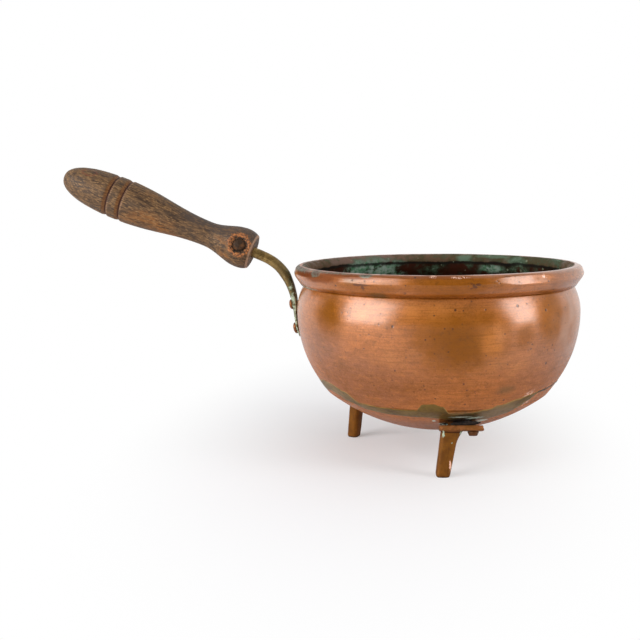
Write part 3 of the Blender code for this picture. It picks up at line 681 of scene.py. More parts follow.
wall_material, tree, output = new_material("bowl_copper_aged")
copper = use_group(tree, aged_copper)
patina = use_group(tree, inside_patina)
here = object_place(tree)
mark = add(tree, "Attribute", attribute_name="inside")["Fac"]
lined = rise(mark + cloud(here, 140, 5, 0.65) * 0.9, 0.85, 1.15)
outside = 1.0 - lined
colour = mixed(lined, copper["Color"], patina["Color"])
rough, high = (add(tree, "Mix", {0: lined, 2: copper[n], 3: patina[n]})[0] for n in ("Roughness", "Height"))
bump, coat_bump = raised(high, 0.35, 0.0004), raised(high, 0.30, 0.0003)
metallic, specular = outside * 0.36, lined * 0.12
coat = {"Coat Weight": outside * copper["Polish"], "Coat Roughness": 0.24, "Coat IOR": 1.7}
surfaced(output, colour, rough, bump, metallic, specular, {**coat, "Coat Normal": coat_bump})
finish(wall, wall_material, "bowl_wall")

iron_material, tree, output = new_material("black_iron")
here = object_place(tree)
colour = tinted((0.040, 0.022, 0.012), cloud(here, 300, 4), 0.45, 0.65, (0.12, 0.050, 0.018))
roughness = rise(cloud(here, 500, 4), 0.3, 0.7, 0.5, 0.8)
surfaced(output, colour, roughness, metallic=0.3, specular=0.2)
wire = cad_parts["rim_wire"]
wire.data.materials.clear()
wire.data.materials.append(iron_material)


# Base
# A dished copper disc, a little duller and pinker than the wall, brazed to it at its edge.

BASE_RINGS = 44
BASE_MIDDLE, BASE_EDGE, BASE_BEVEL = 0.0004, SEAM_RADIUS - 0.0002, 0.0010


def base_ring(share, lift, bevel):
    """A ring of the base at a share of the way out: of its underside, or lifted of its inner face."""
    radius = BASE_MIDDLE + (BASE_EDGE - BASE_MIDDLE - bevel) * share
    ring = []
    for step in range(ROUND_STEPS):
        place = round_bowl(radius, base_height(radius) + lift, tau * step / ROUND_STEPS)
        ring.append(place + Vector((0, 0, planished(place, 0.8))))
    return ring


shares = [k / (BASE_RINGS - 1) for k in range(BASE_RINGS)]
rings = [base_ring(share, 0.0, 0.0) for share in shares]
rings += [base_ring(share, SHEET, BASE_BEVEL) for share in shares[::-1]]
base = skin("bowl_base_dish", rings)
face_points = BASE_RINGS * ROUND_STEPS
store(base, "inside", [0.0] * face_points + [1.0] * face_points)
finish(base, wall_material, "bowl_base")


# Braze seam
# Olive brass run into the joint between wall and base. It spread unevenly, so its edges wander.

BRAZE_EDGES = (
    # azimuth, drop of the upper edge, drop of the lower edge, in degrees and millimetres
    (-180, 68.0, 76.0),
    (-160, 65.0, 72.0),
    (-150, 63.0, 70.0),
    (-144.5, 63.7, 71.2),
    (-136, 66.5, 74.2),
    (-128.5, 72.0, 78.0),
    (-112, 72.8, 78.6),
    (-99, 72.6, 78.9),
    (-95.5, 68.2, 79.2),
    (-91, 67.7, 79.6),
    (-87, 69.5, 80.1),
    (-83, 74.4, 80.4),
    (-73.5, 74.6, 81.0),
    (-66, 72.4, 82.0),
    (-60, 70.2, 82.6),
    (-50, 67.4, 80.5),
    (-43, 66.6, 72.0),
    (-37, 66.2, 67.6),
    (-20, 65.0, 66.0),
    (0, 66.0, 68.0),
    (40, 70.0, 76.0),
    (90, 71.5, 78.0),
    (130, 70.5, 77.0),
    (180, 68.0, 76.0),
)
BRAZE_ACROSS = 12
BRAZE_CROWN, BRAZE_EDGE_DEPTH = 0.00022, 0.0003


def braze_edges(azimuth):
    """Drops of the braze's upper and lower edge at an azimuth in degrees, in metres."""
    for (a, high_a, low_a), (b, high_b, low_b) in zip(BRAZE_EDGES, BRAZE_EDGES[1:]):
        if a <= azimuth <= b:
            share = (azimuth - a) / (b - a)
            share = share * share * (3 - 2 * share)
            high = high_a + (high_b - high_a) * share
            low = low_a + (low_b - low_a) * share
    wander = Vector((azimuth, 0, 0))
    high += 0.5 * uneven(wander, 5, 2.2) + 0.25 * uneven(wander, 1.7, 5.2)
    low += 0.5 * uneven(wander, 5, 8.2) + 0.25 * uneven(wander, 1.9, 6.4)
    return high / 1000, low / 1000


def bowl_surface(drop):
    """The bowl's outer surface, wall or base, at a drop: (radius, height) and the outward direction."""
    height = RIM_HEIGHT - drop
    if drop <= SEAM_DROP:
        point = Vector((wall_radius(drop), height))
        along = (point - Vector((wall_radius(drop - 0.0001), height + 0.0001))).normalized()
        return point, Vector((-along.y, along.x))
    radius = sqrt(max(0.0, BALL_RADIUS**2 - (BALL_HEIGHT - height) ** 2))
    return Vector((radius, height)), Vector((radius, height - BALL_HEIGHT)).normalized()


rings = []
for step in range(2 * ROUND_STEPS):
    angle = -180 + 360 * step / (2 * ROUND_STEPS)
    azimuth = radians(angle)
    high, low = braze_edges(angle)
    ring = []
    for k in range(BRAZE_ACROSS + 1):
        share = k / BRAZE_ACROSS
        point, out = bowl_surface(high + (low - high) * share)
        place = round_bowl(point.x, point.y, azimuth)
        crown = BRAZE_CROWN * (1 - (2 * share - 1) ** 4) * (0.8 + 0.2 * uneven(place, 0.004, 1.9))
        at_edge = k in (0, BRAZE_ACROSS)
        lift = point + out * (crown - BRAZE_EDGE_DEPTH * at_edge - planished(place))
        ring.append(round_bowl(lift.x, lift.y, azimuth))
    for share in (0.8, 0.2):
        point, out = bowl_surface(high + (low - high) * share)
        deep = point - out * (SHEET + 0.0001)
        ring.append(round_bowl(deep.x, deep.y, azimuth))
    rings.append(ring)
braze = skin("braze_seam_run", rings, loop=True)
store(braze, "edge", ([1.0, 1.0] + [0.0] * (len(ring) - 2)) * len(rings))


def mark_inside(obj):
    """Stores for each point of a piece whether it lies inside the pan."""
    marks = []
    for vertex in obj.data.vertices:
        drop = min(max(RIM_HEIGHT - vertex.co.z, NECK_DROP), BOWL_DEPTH - 0.0005)
        surface_point, out = bowl_surface(drop)
        place = Vector((hypot(vertex.co.x - BOWL_X, vertex.co.y), vertex.co.z))
        marks.append(float((place - surface_point).dot(out) < -SHEET / 2))
    store(obj, "inside", marks)


def corroded_inside(colour):
    """A metal's colour, changed inside the pan to the corrosion there, and where it is still bare."""
    inside = add(colour.tree, "Attribute", attribute_name="inside")["Fac"]
    colour = mixed(inside, colour, use_group(colour.tree, inside_patina)["Color"])
    return colour, 1.0 - inside


mark_inside(braze)

braze_material, tree, output = new_material("seam_brass_olive")
here = object_place(tree)
place = use_group(tree, place_on_bowl)["Place"]
broad = cloud(here, 90, 4, 0.6)
fine = cloud(here, 500, 4, 0.6)
colour = tinted((0.185, 0.112, 0.022), broad, 0.35, 0.65, (0.105, 0.057, 0.009))
colour = tinted(colour, fine, 0.5, 0.75, (0.09, 0.062, 0.018), 0.6)
# The braze is paler in two patches, below the wall's two window highlights.
paler_patches = blots(place, broad, ((-140, 68, 16, 9, 0.6, 1.0, 0.45), (-57, 76, 9, 8, 0.6, 1.0, 0.55)))
colour = mixed(paler_patches, colour, (0.26, 0.185, 0.100))
colour = tinted(colour, cloud(here, 260, 4, 0.7), 0.52, 0.66, (0.060, 0.040, 0.004), 0.5)
edge = add(tree, "Attribute", attribute_name="edge")["Fac"]
colour = mixed(edge * rise(broad, 0.40, 0.58, 0.0, 0.8), colour, (0.44, 0.24, 0.060))
# Near black above the front leg's plate: partly black corrosion, partly painted shade of the gap.
black_and_painted_shade = blots(place, fine, (BLACK_AND_SHADE_BY_FRONT_LEG, (-75, 77.5, 8, 2.4, 0.7, 2.4, 0.7)))
colour = mixed(black_and_painted_shade, colour, (0.014, 0.012, 0.006))
thin_end = blots(place, fine, ((-22, 66, 16, 5, 0.1, 0.2, 0.9),))
colour = mixed(thin_end, colour, (0.05, 0.035, 0.02))
colour = mixed(blots(place, fine, MINT_MARKS), colour, MINT)
colour, outside = corroded_inside(colour)
bump = raised(fine, 0.3, 0.0003)
surfaced(output, colour, rise(fine, 0.3, 0.7, 0.34, 0.5), bump, metallic=outside * 0.4, specular=0.3)
finish(braze, braze_material, "braze_seam")


# Wooden grip
# Hardwood turned between centres: knob, waist, swell with two lathe grooves, and a round butt. It is
# weathered grey-brown, and worn orange-brown where hands and the pin's mushroomed head rub it.

GRIP_REACH, GRIP_RISE = 0.1088, 0.0065
SLOPE = radians(21.9)
GRIP_LENGTH = 0.1240
FACE_RADIUS, FACE_CHAMFER = 0.0090, 0.0006
KNOB_RADIUS, KNOB_AT = 0.0122, 0.0072
WAIST_RADIUS, WAIST_AT = 0.0076, 0.0298
SWELL_RADIUS, SWELL_AT, BUTT_POWER = 0.0129, 0.0842, 2.45
GROOVES = (0.0829, 0.0913)
GROOVE_DEPTH, GROOVE_STEP, GROOVE_SLOPE = 0.0010, 0.0006, 0.0028
PIN_AT, PIN_TILT = 0.0080, radians(13)
SOCKET_RADIUS, SOCKET_MOUTH, SOCKET_DEPTH = 0.0043, 0.0068, 0.0026
TANG_HOLE, TANG_HOLE_DEPTH, TANG_HOLE_CHAMFER = 0.0034, 0.0080, 0.0004
KNOT_PLACE = (0.0085, -0.0065, 0.1085)
GRIP_STEPS, GRIP_SPACING = 128, 0.0005
BUTT_PLACES = (0.0040, 0.0030, 0.0022, 0.0015, 0.0009, 0.0005, 0.0002, 0.00005)

grip_face = Matrix.Translation((BOWL_X - GRIP_REACH, 0, RIM_HEIGHT + GRIP_RISE))
handle_place = grip_face @ Matrix.Rotation(SLOPE - pi / 2, 4, "Y")
pin_axis = Vector((sin(PIN_TILT), -cos(PIN_TILT), 0))


def circle(radius, height, steps):
    """Points round the Z axis."""
    angles = [tau * k / steps for k in range(steps)]
    return [Vector((radius * cos(angle), radius * sin(angle), height)) for angle in angles]


def grip_radius(at):
    """The grip's radius at a distance from its face."""
    if at < KNOB_AT:
        edge = sqrt(max(0.0, 1 - (1 - at / KNOB_AT) ** 2))
        radius = FACE_RADIUS + (KNOB_RADIUS - FACE_RADIUS) * edge
    elif at < WAIST_AT:
        share = (1 + cos(pi * (at - KNOB_AT) / (WAIST_AT - KNOB_AT))) / 2
        radius = WAIST_RADIUS + (KNOB_RADIUS - WAIST_RADIUS) * share
    elif at < SWELL_AT:
        share = (1 - cos(pi * (at - WAIST_AT) / (SWELL_AT - WAIST_AT))) / 2
        radius = WAIST_RADIUS + (SWELL_RADIUS - WAIST_RADIUS) * share
    else:
        share = min(1.0, (at - SWELL_AT) / (GRIP_LENGTH - SWELL_AT))
        radius = SWELL_RADIUS * max(0.0, 1 - share**BUTT_POWER) ** (1 / BUTT_POWER)
    for groove in GROOVES:
        if groove - GROOVE_STEP < at <= groove:
            radius -= GROOVE_DEPTH * (at - groove + GROOVE_STEP) / GROOVE_STEP
        elif groove < at < groove + GROOVE_SLOPE:
            radius -= GROOVE_DEPTH * (1 - (at - groove) / GROOVE_SLOPE)
    return radius


def weathered(point):
    """A point of the grip where the softer grain has worn away."""
    grain = Vector((point.x, point.y, point.z * 0.12))
    worn = 0.00010 * (1 + uneven(grain, 0.0020, 2.5)) + 0.00006 * (1 + uneven(grain, 0.0007, 9.5))
    return point - Vector((point.x, point.y, 0)).normalized() * worn


def dished(point):
    """A point of the grip pushed down into the pin's countersunk socket, where it lies over it."""
    from_pin = point - Vector((0, 0, PIN_AT))
    height = from_pin.dot(pin_axis)
    away = (from_pin - pin_axis * height).length
    slant = SOCKET_DEPTH * (away - SOCKET_RADIUS) / (SOCKET_MOUTH - SOCKET_RADIUS)
    allowed = KNOB_RADIUS - SOCKET_DEPTH + max(0.0, slant) + 0.00025 * uneven(point, 0.0011, 4.0)
    if height > allowed and away < 1.3 * SOCKET_MOUTH:
        return point - pin_axis * (height - allowed)
    return point


places = [GRIP_SPACING * k for k in range(1, 240)]
places += [groove + shift for groove in GROOVES for shift in (-0.0007, -0.0006, 0.0, 0.0001)]
places += [GRIP_LENGTH - from_end for from_end in BUTT_PLACES]
outline = [(TANG_HOLE, TANG_HOLE_DEPTH), (TANG_HOLE, TANG_HOLE_CHAMFER)]
outline += [(TANG_HOLE + TANG_HOLE_CHAMFER, 0.0), (FACE_RADIUS - FACE_CHAMFER, 0.0)]
outline +=[(grip_radius(max(at, FACE_CHAMFER)), at) for at in sorted(places)]
rings = []
for radius, at in outline:
    ring = circle(radius, at, GRIP_STEPS)
    if radius > 0.005:
        ring = [weathered(point) for point in ring]
    rings.append([handle_place @ dished(point) for point in ring])
grip = skin("grip_turned_wood", rings)

wood_material, tree, output = new_material("grip_weathered_wood")
# The grip's own place: its axis along Z, from the face beside the bowl.
sources = {"Vector": object_place(tree), "Location": handle_place.to_translation()}
sources["Rotation"] = handle_place.to_euler()
here = add(tree, "Mapping", sources, vector_type="TEXTURE")["Vector"]
parts = split(here)
along, upward = parts["Z"], parts["X"]
grain = cloud(here, 640, 6, 0.7, 0.5, flat=0.14)
fibre = cloud(here, 1300, 5, 0.65, flat=0.25)
broad = cloud(here, 95, 4, 0.6, flat=0.35)
fine = cloud(here, 900, 3, 0.6)
colour = tinted((0.040, 0.020, 0.009), grain, 0.38, 0.62, (0.138, 0.074, 0.031))
# Hands have worn the swell's lower side and the wood by the knob to orange brown.
on_swell = rise(along, 0.036, 0.050) * rise(along, 0.088, 0.074) * rise(upward, 0.006, -0.003)
by_knob = rise(along, 0.010, 0.014) * rise(along, 0.027, 0.018) * rise(upward, 0.005, 0.000)
held = broad + greatest(on_swell, by_knob) * 0.15 + rise(along, 0.086, 0.100, 0.0, -0.15)
rubbed = rise(held, 0.52, 0.74, 0.0, 0.9) * rise(grain, 0.40, 0.55, 0.15, 0.9)
colour = mixed(rubbed, colour, (0.235, 0.088, 0.018))
colour = tinted(colour, fibre, 0.49, 0.66, (0.29, 0.155, 0.058), 0.80)
colour = tinted(colour, fibre, 0.46, 0.34, (0.045, 0.024, 0.011), 0.5)
colour = tinted(colour, broad, 0.46, 0.30, (0.040, 0.027, 0.020), 0.6)
on_top = rise(upward, 0.000, 0.006) * rise(along, 0.056, 0.040) * rise(fibre, 0.35, 0.6, 0.9, 0.5)
colour = mixed(on_top, colour, (0.052, 0.038, 0.032))
knot_reach = vectors("LENGTH", stretched(vectors("SUBTRACT", here, KNOT_PLACE), (1, 1, 0.55)))
knot_reach = knot_reach + rise(grain, 0.3, 0.7, -0.0006, 0.0006)
whorl = rise(knot_reach, 0.0020, 0.0025) * rise(knot_reach, 0.0032, 0.0027)
colour = mixed(whorl * 0.6, colour, (0.16, 0.045, 0.020))
# The socket's chipped orange ring and dark core, on the near side only.
from_pin = vectors("SUBTRACT", here, (0, 0, PIN_AT))
height = vectors("DOT_PRODUCT", from_pin, tuple(pin_axis))
shadow = add(tree, "VectorMath", {0: tuple(pin_axis), "Scale": height}, operation="SCALE")[0]
away = vectors("LENGTH", vectors("SUBTRACT", from_pin, shadow)) * 1000.0
away = away + rise(cloud(here, 480, 4, 0.7), 0.25, 0.75, -1.3, 1.3)
near_side = calculate("GREATER_THAN", height, 0.0)
orange = rise(away, 7.3, 6.8) * near_side * rise(fine, 0.40, 0.50, 0.45, 1.0)
colour = mixed(orange, colour, tinted((0.17, 0.052, 0.013), fine, 0.4, 0.6, (0.40, 0.150, 0.045)))
core = rise(away, 5.2, 4.7) * near_side
colour = mixed(core, colour, tinted((0.018, 0.011, 0.007), fine, 0.45, 0.6, (0.10, 0.050, 0.022)))
face_edge = rise(along, 0.0001, 0.0004) * rise(along, 0.0014, 0.0009) * rise(broad, 0.35, 0.50, 0.4, 0.8)
colour = mixed(face_edge, colour, (0.40, 0.24, 0.15))
for groove in GROOVES:
    step = groove - GROOVE_STEP
    slope_end = groove + GROOVE_SLOPE
    slope = rise(along, groove - 0.0001, groove + 0.0002) * rise(along, slope_end, slope_end - 0.0008)
    slope_colour = tinted((0.105, 0.036, 0.006), fibre, 0.4, 0.6, (0.190, 0.075, 0.016))
    colour = mixed(slope * 0.85, colour, slope_colour)
    step_shade = rise(along, step - 0.0001, step + 0.0002) * rise(along, groove + 0.0010, groove + 0.0004)
    colour = mixed(step_shade * 0.9, colour, (0.040, 0.008, 0.003))
    pale_edge = rise(along, step - 0.0011, step - 0.0007) * rise(along, step + 0.0001, step - 0.0002)
    pale_edge = pale_edge * rise(grain, 0.40, 0.60, 0.05, 0.5)
    colour = mixed(pale_edge, colour, (0.32, 0.18, 0.10))
bump = raised(fibre * 0.5 + grain, 0.45, 0.0005)
surfaced(output, colour, rise(grain, 0.3, 0.7, 0.48, 0.66), bump, specular=0.3)
finish(grip, wood_material, "wooden_grip")


# Pin in the knob
# An iron cross pin, hammered over and rusted black, in the middle of its worn socket.

PIN_RADIUS = 0.0013
PIN_HEAD_RADIUS, PIN_HEAD_HEIGHT = 0.0037, 0.0016
PIN_TAIL_RADIUS, PIN_TAIL_HEIGHT = 0.0022, 0.0008
TIP_RADIUS = 0.0002
BEATEN_STEPS = 40


def aimed(origin, axis):
    """The matrix that puts local Z along an axis at an origin."""
    return Matrix.Translation(origin) @ Vector(axis).to_track_quat("Z", "Y").to_matrix().to_4x4()


def superellipse(angle, half_width, half_height, power):
    c, s = cos(angle), sin(angle)
    return copysign(abs(c) ** (2 / power), c) * half_width, copysign(abs(s) ** (2 / power), s) * half_height


def head_outline(seat, radius, height):
    """Points (radius, height) of a hammered dome, from its tip to its seat."""
    dome = [superellipse(radians(89.5 - 11.1 * k), radius, height, 2.6) for k in range(9)]
    return [*((r, seat + h) for r, h in dome), (radius, seat)]


def beaten(name, outline, place, rough, seed):
    """A turned piece from points (radius, height) along its axis, with a hammered surface."""
    rings = []
    for radius, height in outline:
        ring = circle(radius, height, BEATEN_STEPS)
        if radius > 0.0006:
            for point in ring:
                dent = rough * (1 + uneven(point, 0.0016, seed))
                point -= Vector((point.x, point.y, 0.3 * abs(point.z) + 0.001)).normalized() * dent
        rings.append([place @ point for point in ring])
    return skin(name, rings)


seat = KNOB_RADIUS - SOCKET_DEPTH + 0.0001
outline = head_outline(seat, PIN_HEAD_RADIUS, PIN_HEAD_HEIGHT)
outline += [(PIN_RADIUS, seat), (PIN_RADIUS, -KNOB_RADIUS + 0.0002)]
outline += [(PIN_TAIL_RADIUS, -KNOB_RADIUS), (PIN_TAIL_RADIUS * 0.7, -KNOB_RADIUS - PIN_TAIL_HEIGHT * 0.8)]
outline += [(TIP_RADIUS, -KNOB_RADIUS - PIN_TAIL_HEIGHT)]
pin = beaten("grip_pin_iron", outline, handle_place @ aimed((0, 0, PIN_AT), pin_axis), 0.00012, 3.3)
finish(pin, iron_material, "grip_pin")


# Shank
# A brass rod: tapered tang in the grip, round bend over the rim, forged out to a strap that follows the
# bowl. Dull olive, with green crusts where it meets the copper.

SHANK_WIDTH = 0.0063
TANG_DEPTH, TANG_END_WIDTH = 0.0078, 0.0060
BEND_TOP_PULL, BEND_FOOT_PULL = 0.0115, 0.0287
SPREAD_START = 0.62
STRAP_WIDTH, STRAP_TIP_WIDTH = 0.0108, 0.0056
STRAP_START, STRAP_END = 0.0300, 0.0435
STRAP_START_THICK, STRAP_END_THICK = 0.0019, 0.0010
STRAP_POWER = 5.0
GAP = 0.0003
BEND_POINTS, STRAP_POINTS, SHANK_STEPS = 60, 36, 40


def shank_stations():
    """Sections of the shank: centre (distance from the bowl's axis, height), width, thickness, power."""
    strap = []
    for k in range(STRAP_POINTS):
        share = k / (STRAP_POINTS - 1)
        drop = STRAP_START + (STRAP_END - STRAP_START) * share
        thickness = STRAP_START_THICK + (STRAP_END_THICK - STRAP_START_THICK) * share
        point, out = bowl_surface(drop)
        to_end = min(1.0, (STRAP_END - drop) / (STRAP_WIDTH / 2))
        width = max(STRAP_TIP_WIDTH, STRAP_WIDTH * sqrt(1 - (1 - to_end) ** 2))
        strap.append((point + out * (GAP + thickness / 2), width, thickness, STRAP_POWER))
    outwards = Vector((cos(SLOPE), sin(SLOPE)))
    start = Vector((GRIP_REACH, RIM_HEIGHT + GRIP_RISE))
    end = strap[0][0]
    down = (strap[1][0] - end).normalized()
    pulls = (start, start - outwards * BEND_TOP_PULL, end - down * BEND_FOOT_PULL, end)
    bend = []
    for k in range(BEND_POINTS):
        t = k / BEND_POINTS
        weights = ((1 - t) ** 3, 3 * t * (1 - t) ** 2, 3 * t * t * (1 - t), t**3)
        centre = sum((pull * weight for pull, weight in zip(pulls, weights)), Vector((0, 0)))
        spread = max(0.0, (t - SPREAD_START) / (1 - SPREAD_START))
        width = SHANK_WIDTH + (STRAP_WIDTH - SHANK_WIDTH) * spread
        thickness = SHANK_WIDTH + (STRAP_START_THICK - SHANK_WIDTH) * spread
        bend.append((centre, width, thickness, 2 + (STRAP_POWER - 2) * spread))
    tang = (start + outwards * TANG_DEPTH, TANG_END_WIDTH, TANG_END_WIDTH, 2)
    return [tang, *bend, *strap]


stations = shank_stations()
shank_path = [station[0] for station in stations]
shank_ways = directions(shank_path)
rings = []
for (centre, width, thickness, power), way in zip(stations, shank_ways):
    out = Vector((-way.y, way.x))
    middle = Vector((BOWL_X - centre.x, 0, centre.y))
    ring = []
    for k in range(SHANK_STEPS):
        across, lift = superellipse(tau * k / SHANK_STEPS, width / 2, thickness / 2, power)
        in_plane = centre + out * lift
        point = Vector((BOWL_X - in_plane.x, across, in_plane.y))
        ring.append(point - (point - middle).normalized() * 0.00010 * (1 + uneven(point, 0.0045, 6.1)))
    rings.append(ring)
shank = skin("handle_shank_forged", rings)

# Green corrosion of brass and copper: pale mint flecks in a darker green stain.
verdigris, entries, results = new_group(
    "verdigris", {"Color": ("Color",), "Float": ("Amount",)}, {"Color": ("Color",), "Float": ("Mask",)}
)
growth = cloud(object_place(verdigris), 330, 5, 0.7, 0.3) + entries["Amount"]
flecks = rise(growth, 1.14, 1.26)
colour = mixed(rise(growth, 0.98, 1.16) * 0.7, entries["Color"], (0.085, 0.095, 0.045))
put(results, Color=mixed(flecks, colour, (0.42, 0.50, 0.36)), Mask=flecks)

shank_material, tree, output = new_material("shank_brass_olive")
here = object_place(tree)
along = split(here)["X"]
broad = cloud(here, 160, 5, 0.65)
fine = cloud(here, 800, 4, 0.6)
colour = tinted((0.16, 0.095, 0.022), broad, 0.40, 0.62, (0.34, 0.22, 0.070))
colour = tinted(colour, fine, 0.52, 0.75, (0.07, 0.05, 0.020), 0.6)
bend_shade = rise(along, -0.032, -0.020) * rise(broad, 0.35, 0.6, 0.25, 0.65)
colour = mixed(bend_shade, colour, (0.065, 0.045, 0.016))
near_bowl = rise(along, -0.024, -0.013, 0.22, 0.72)
green = use_group(tree, verdigris, {"Color": colour, "Amount": near_bowl})
roughness = rise(fine, 0.3, 0.7, 0.36, 0.52) + green["Mask"] * 0.3
bump = raised(broad + green["Mask"], 0.4, 0.0004)
surfaced(output, green["Color"], roughness, bump, metallic=rise(green["Mask"], 0.0, 1.0, 0.6, 0.0))
finish(shank, shank_material, "handle_shank")


# Rivets
# Copper rivets with hammered heads outside and burred-over tails inside the bowl. They are darker under
# the base, as painted shade, and corroded like the sheet inside the pan.

RIVET_RADIUS = 0.0017
TAIL_RADIUS, TAIL_HEIGHT = 0.0030, 0.0011
UPPER_DROP, UPPER_RADIUS, UPPER_HEIGHT = 0.0241, 0.0031, 0.0018
LOWER_DROP, LOWER_RADIUS, LOWER_HEIGHT = 0.0385, 0.0035, 0.0020

rivet_material, tree, output = new_material("rivet_copper_dark")
here = object_place(tree)
broad = cloud(here, 260, 4, 0.6)
fine = cloud(here, 900, 4, 0.6)
colour = tinted((0.26, 0.090, 0.028), broad, 0.4, 0.65, (0.11, 0.040, 0.012))
colour = tinted(colour, fine, 0.52, 0.75, (0.06, 0.028, 0.012), 0.6)
# Painted shade: rivets low down under the base are darkened.
colour = tinted(colour, split(here)["Z"], 0.032, 0.027, (0.065, 0.026, 0.008), 0.75)
colour, outside = corroded_inside(colour)
bump = raised(fine, 0.35, 0.0003)
surfaced(output, colour, rise(fine, 0.3, 0.7, 0.36, 0.5), bump, metallic=outside * 0.4, specular=0.2)


def tail_outline(seat):
    """Points (radius, height) of a rivet's burred-over end, which points down."""
    ends = [(TAIL_RADIUS, seat), (TAIL_RADIUS * 0.94, seat - TAIL_HEIGHT * 0.5)]
    return [*ends, (TAIL_RADIUS * 0.7, seat - TAIL_HEIGHT * 0.85), (TIP_RADIUS, seat - TAIL_HEIGHT)]


for name, node, drop, radius, height in (
    ("shank_upper_rivet_head", "shank_rivet_upper", UPPER_DROP, UPPER_RADIUS, UPPER_HEIGHT),
    ("shank_lower_rivet_head", "shank_rivet_lower", LOWER_DROP, LOWER_RADIUS, LOWER_HEIGHT),
):
    surface_point, _ = bowl_surface(drop)
    nearest = min(range(len(stations)), key=lambda i: abs(shank_path[i].y - surface_point.y))
    axis = Vector((shank_ways[nearest].y, 0, shank_ways[nearest].x))
    origin = Vector((BOWL_X - surface_point.x, 0, surface_point.y))
    seat = (origin.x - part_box(node)[0].x) / -axis.x - height
    outline = head_outline(seat, radius, height)
    outline += [(RIVET_RADIUS, seat), (RIVET_RADIUS, -SHEET), *tail_outline(-SHEET - GAP)]
    head = beaten(name, outline, aimed(origin, axis), 0.00008, 1.7 + drop * 100)
    mark_inside(head)
    finish(head, rivet_material, node)


# Legs
# Cast bronze: a post with a worn foot, flared at the top into a flat plate under the base, and a spigot
# through the base, burred over inside. A copper rivet holds the plate's toe, and black and green
# corrosion has grown in the gap above the plate; its crust is near black, partly as painted shade of the
# gap. A dark line under the plate is a painted shadow.

LEGS = (
    # node, azimuth, distance of the foot from the bowl's axis, side of the plate's toe, sideways lean
    ("leg_front", -85.7, 0.0550, 1, 8.2),
    ("leg_handle_side", 155.4, 0.0565, -1, 0.0),
    ("leg_rear", 68.0, 0.0540, 1, 0.0),
)
LEG_SPLAY = radians(6.0)
FOOT_WIDTH, TOP_WIDTH = 0.0081, 0.0099
FOOT_THICK, TOP_THICK = 0.0072, 0.0078
FLARE, FLARE_START, LEG_POWER = 0.0030, 0.62, 3.2
FOOT_EDGE = (
    # share drawn in, height above the sole, wear
    (0.30, 0.0, 0.00108),
    (0.0, 0.0, 0.00066),
    (0.0, 0.0003, 0.00036),
    (0.0, 0.0008, 0.000144),
)
FOOT_TOP = (0.0, 0.0012, 0.0)
PLATE_THICK, PLATE_DEPTH = 0.0028, 0.0110
PLATE_HEEL, PLATE_TOE = 0.0061, 0.0188
PLATE_WEDGE, PLATE_POWER = radians(13), 6.0
PLATE_EDGE = (
    # drop below the plate's top, how far drawn in
    (0, 0.0030),
    (0, 0.0006),
    (0.0002, 0.0002),
    (0.0006, 0),
    (0.0022, 0),
    (0.0026, 0.0002),
    (0.0028, 0.0006),
    (0.0028, 0.0030),
)
LEG_RIVET_AT = 0.0124
LEG_HEAD_RADIUS, LEG_HEAD_TIP, LEG_HEAD_HEIGHT = 0.00315, 0.0023, 0.0024
SPIGOT_RADIUS = 0.0022
LEG_STEPS, LEG_PLACES, PLATE_STEPS, SPIGOT_STEPS = 36, 44, 64, 32
CRUST_FROM_HEEL, CRUST_SHORTER, CRUST_INSET = 0.0008, 0.0030, 0.0042
CRUST_PLACES, CRUST_STEPS = 30, 16


def leg_frame(azimuth_deg, foot_radius, side, lean_deg):
    """Unit vectors outwards, along the plate and square to it, and the point of its top above the leg."""
    azimuth = radians(azimuth_deg)
    out = Vector((cos(azimuth), sin(azimuth), 0))
    along = Vector((-sin(azimuth), cos(azimuth), 0)) * side
    top_radius = foot_radius - base_height(foot_radius) * tan(LEG_SPLAY)
    tilt = asin(top_radius / BALL_RADIUS) - PLATE_WEDGE
    normal = Vector((0, 0, cos(tilt))) - out * sin(tilt)
    inner_edge = top_radius - PLATE_DEPTH / 2 * cos(tilt)
    edge_height = base_height(inner_edge) - GAP / cos(asin(inner_edge / BALL_RADIUS))
    top_height = edge_height + PLATE_DEPTH / 2 * sin(tilt)
    sideways = along * (top_height * tan(radians(lean_deg)))
    return out, along, normal, Vector((BOWL_X, 0, top_height)) + out * top_radius + sideways


def reach_of_base(point, direction, radius):
    """How far a line from a point below the base runs to it, or to its inner face at a smaller radius."""
    to_middle = Vector((BOWL_X, 0, BALL_HEIGHT)) - point
    towards = to_middle.dot(direction)
    return towards - sqrt(towards**2 - (to_middle.length_squared - radius**2))


def tail_seat(point, direction):
    """How far above a point the seat of a tail lies inside the base."""
    lining = reach_of_base(point, direction, BALL_RADIUS - SHEET)
    meeting = point + direction * lining
    slant = (Vector((BOWL_X, 0, BALL_HEIGHT)) - meeting).normalized().angle(direction)
    return lining + TAIL_RADIUS * tan(slant) + TAIL_RADIUS**2 / (2 * BALL_RADIUS) + GAP


def leg_spot(here, ragged, centre, half_size):
    """A ragged spot round a point of the front leg: 1 inside it, 0 outside."""
    far = vectors("LENGTH", vectors("DIVIDE", vectors("SUBTRACT", here, centre), half_size))
    return rise(far + rise(ragged, 0.3, 0.7, -0.5, 0.5), 1.15, 0.85)


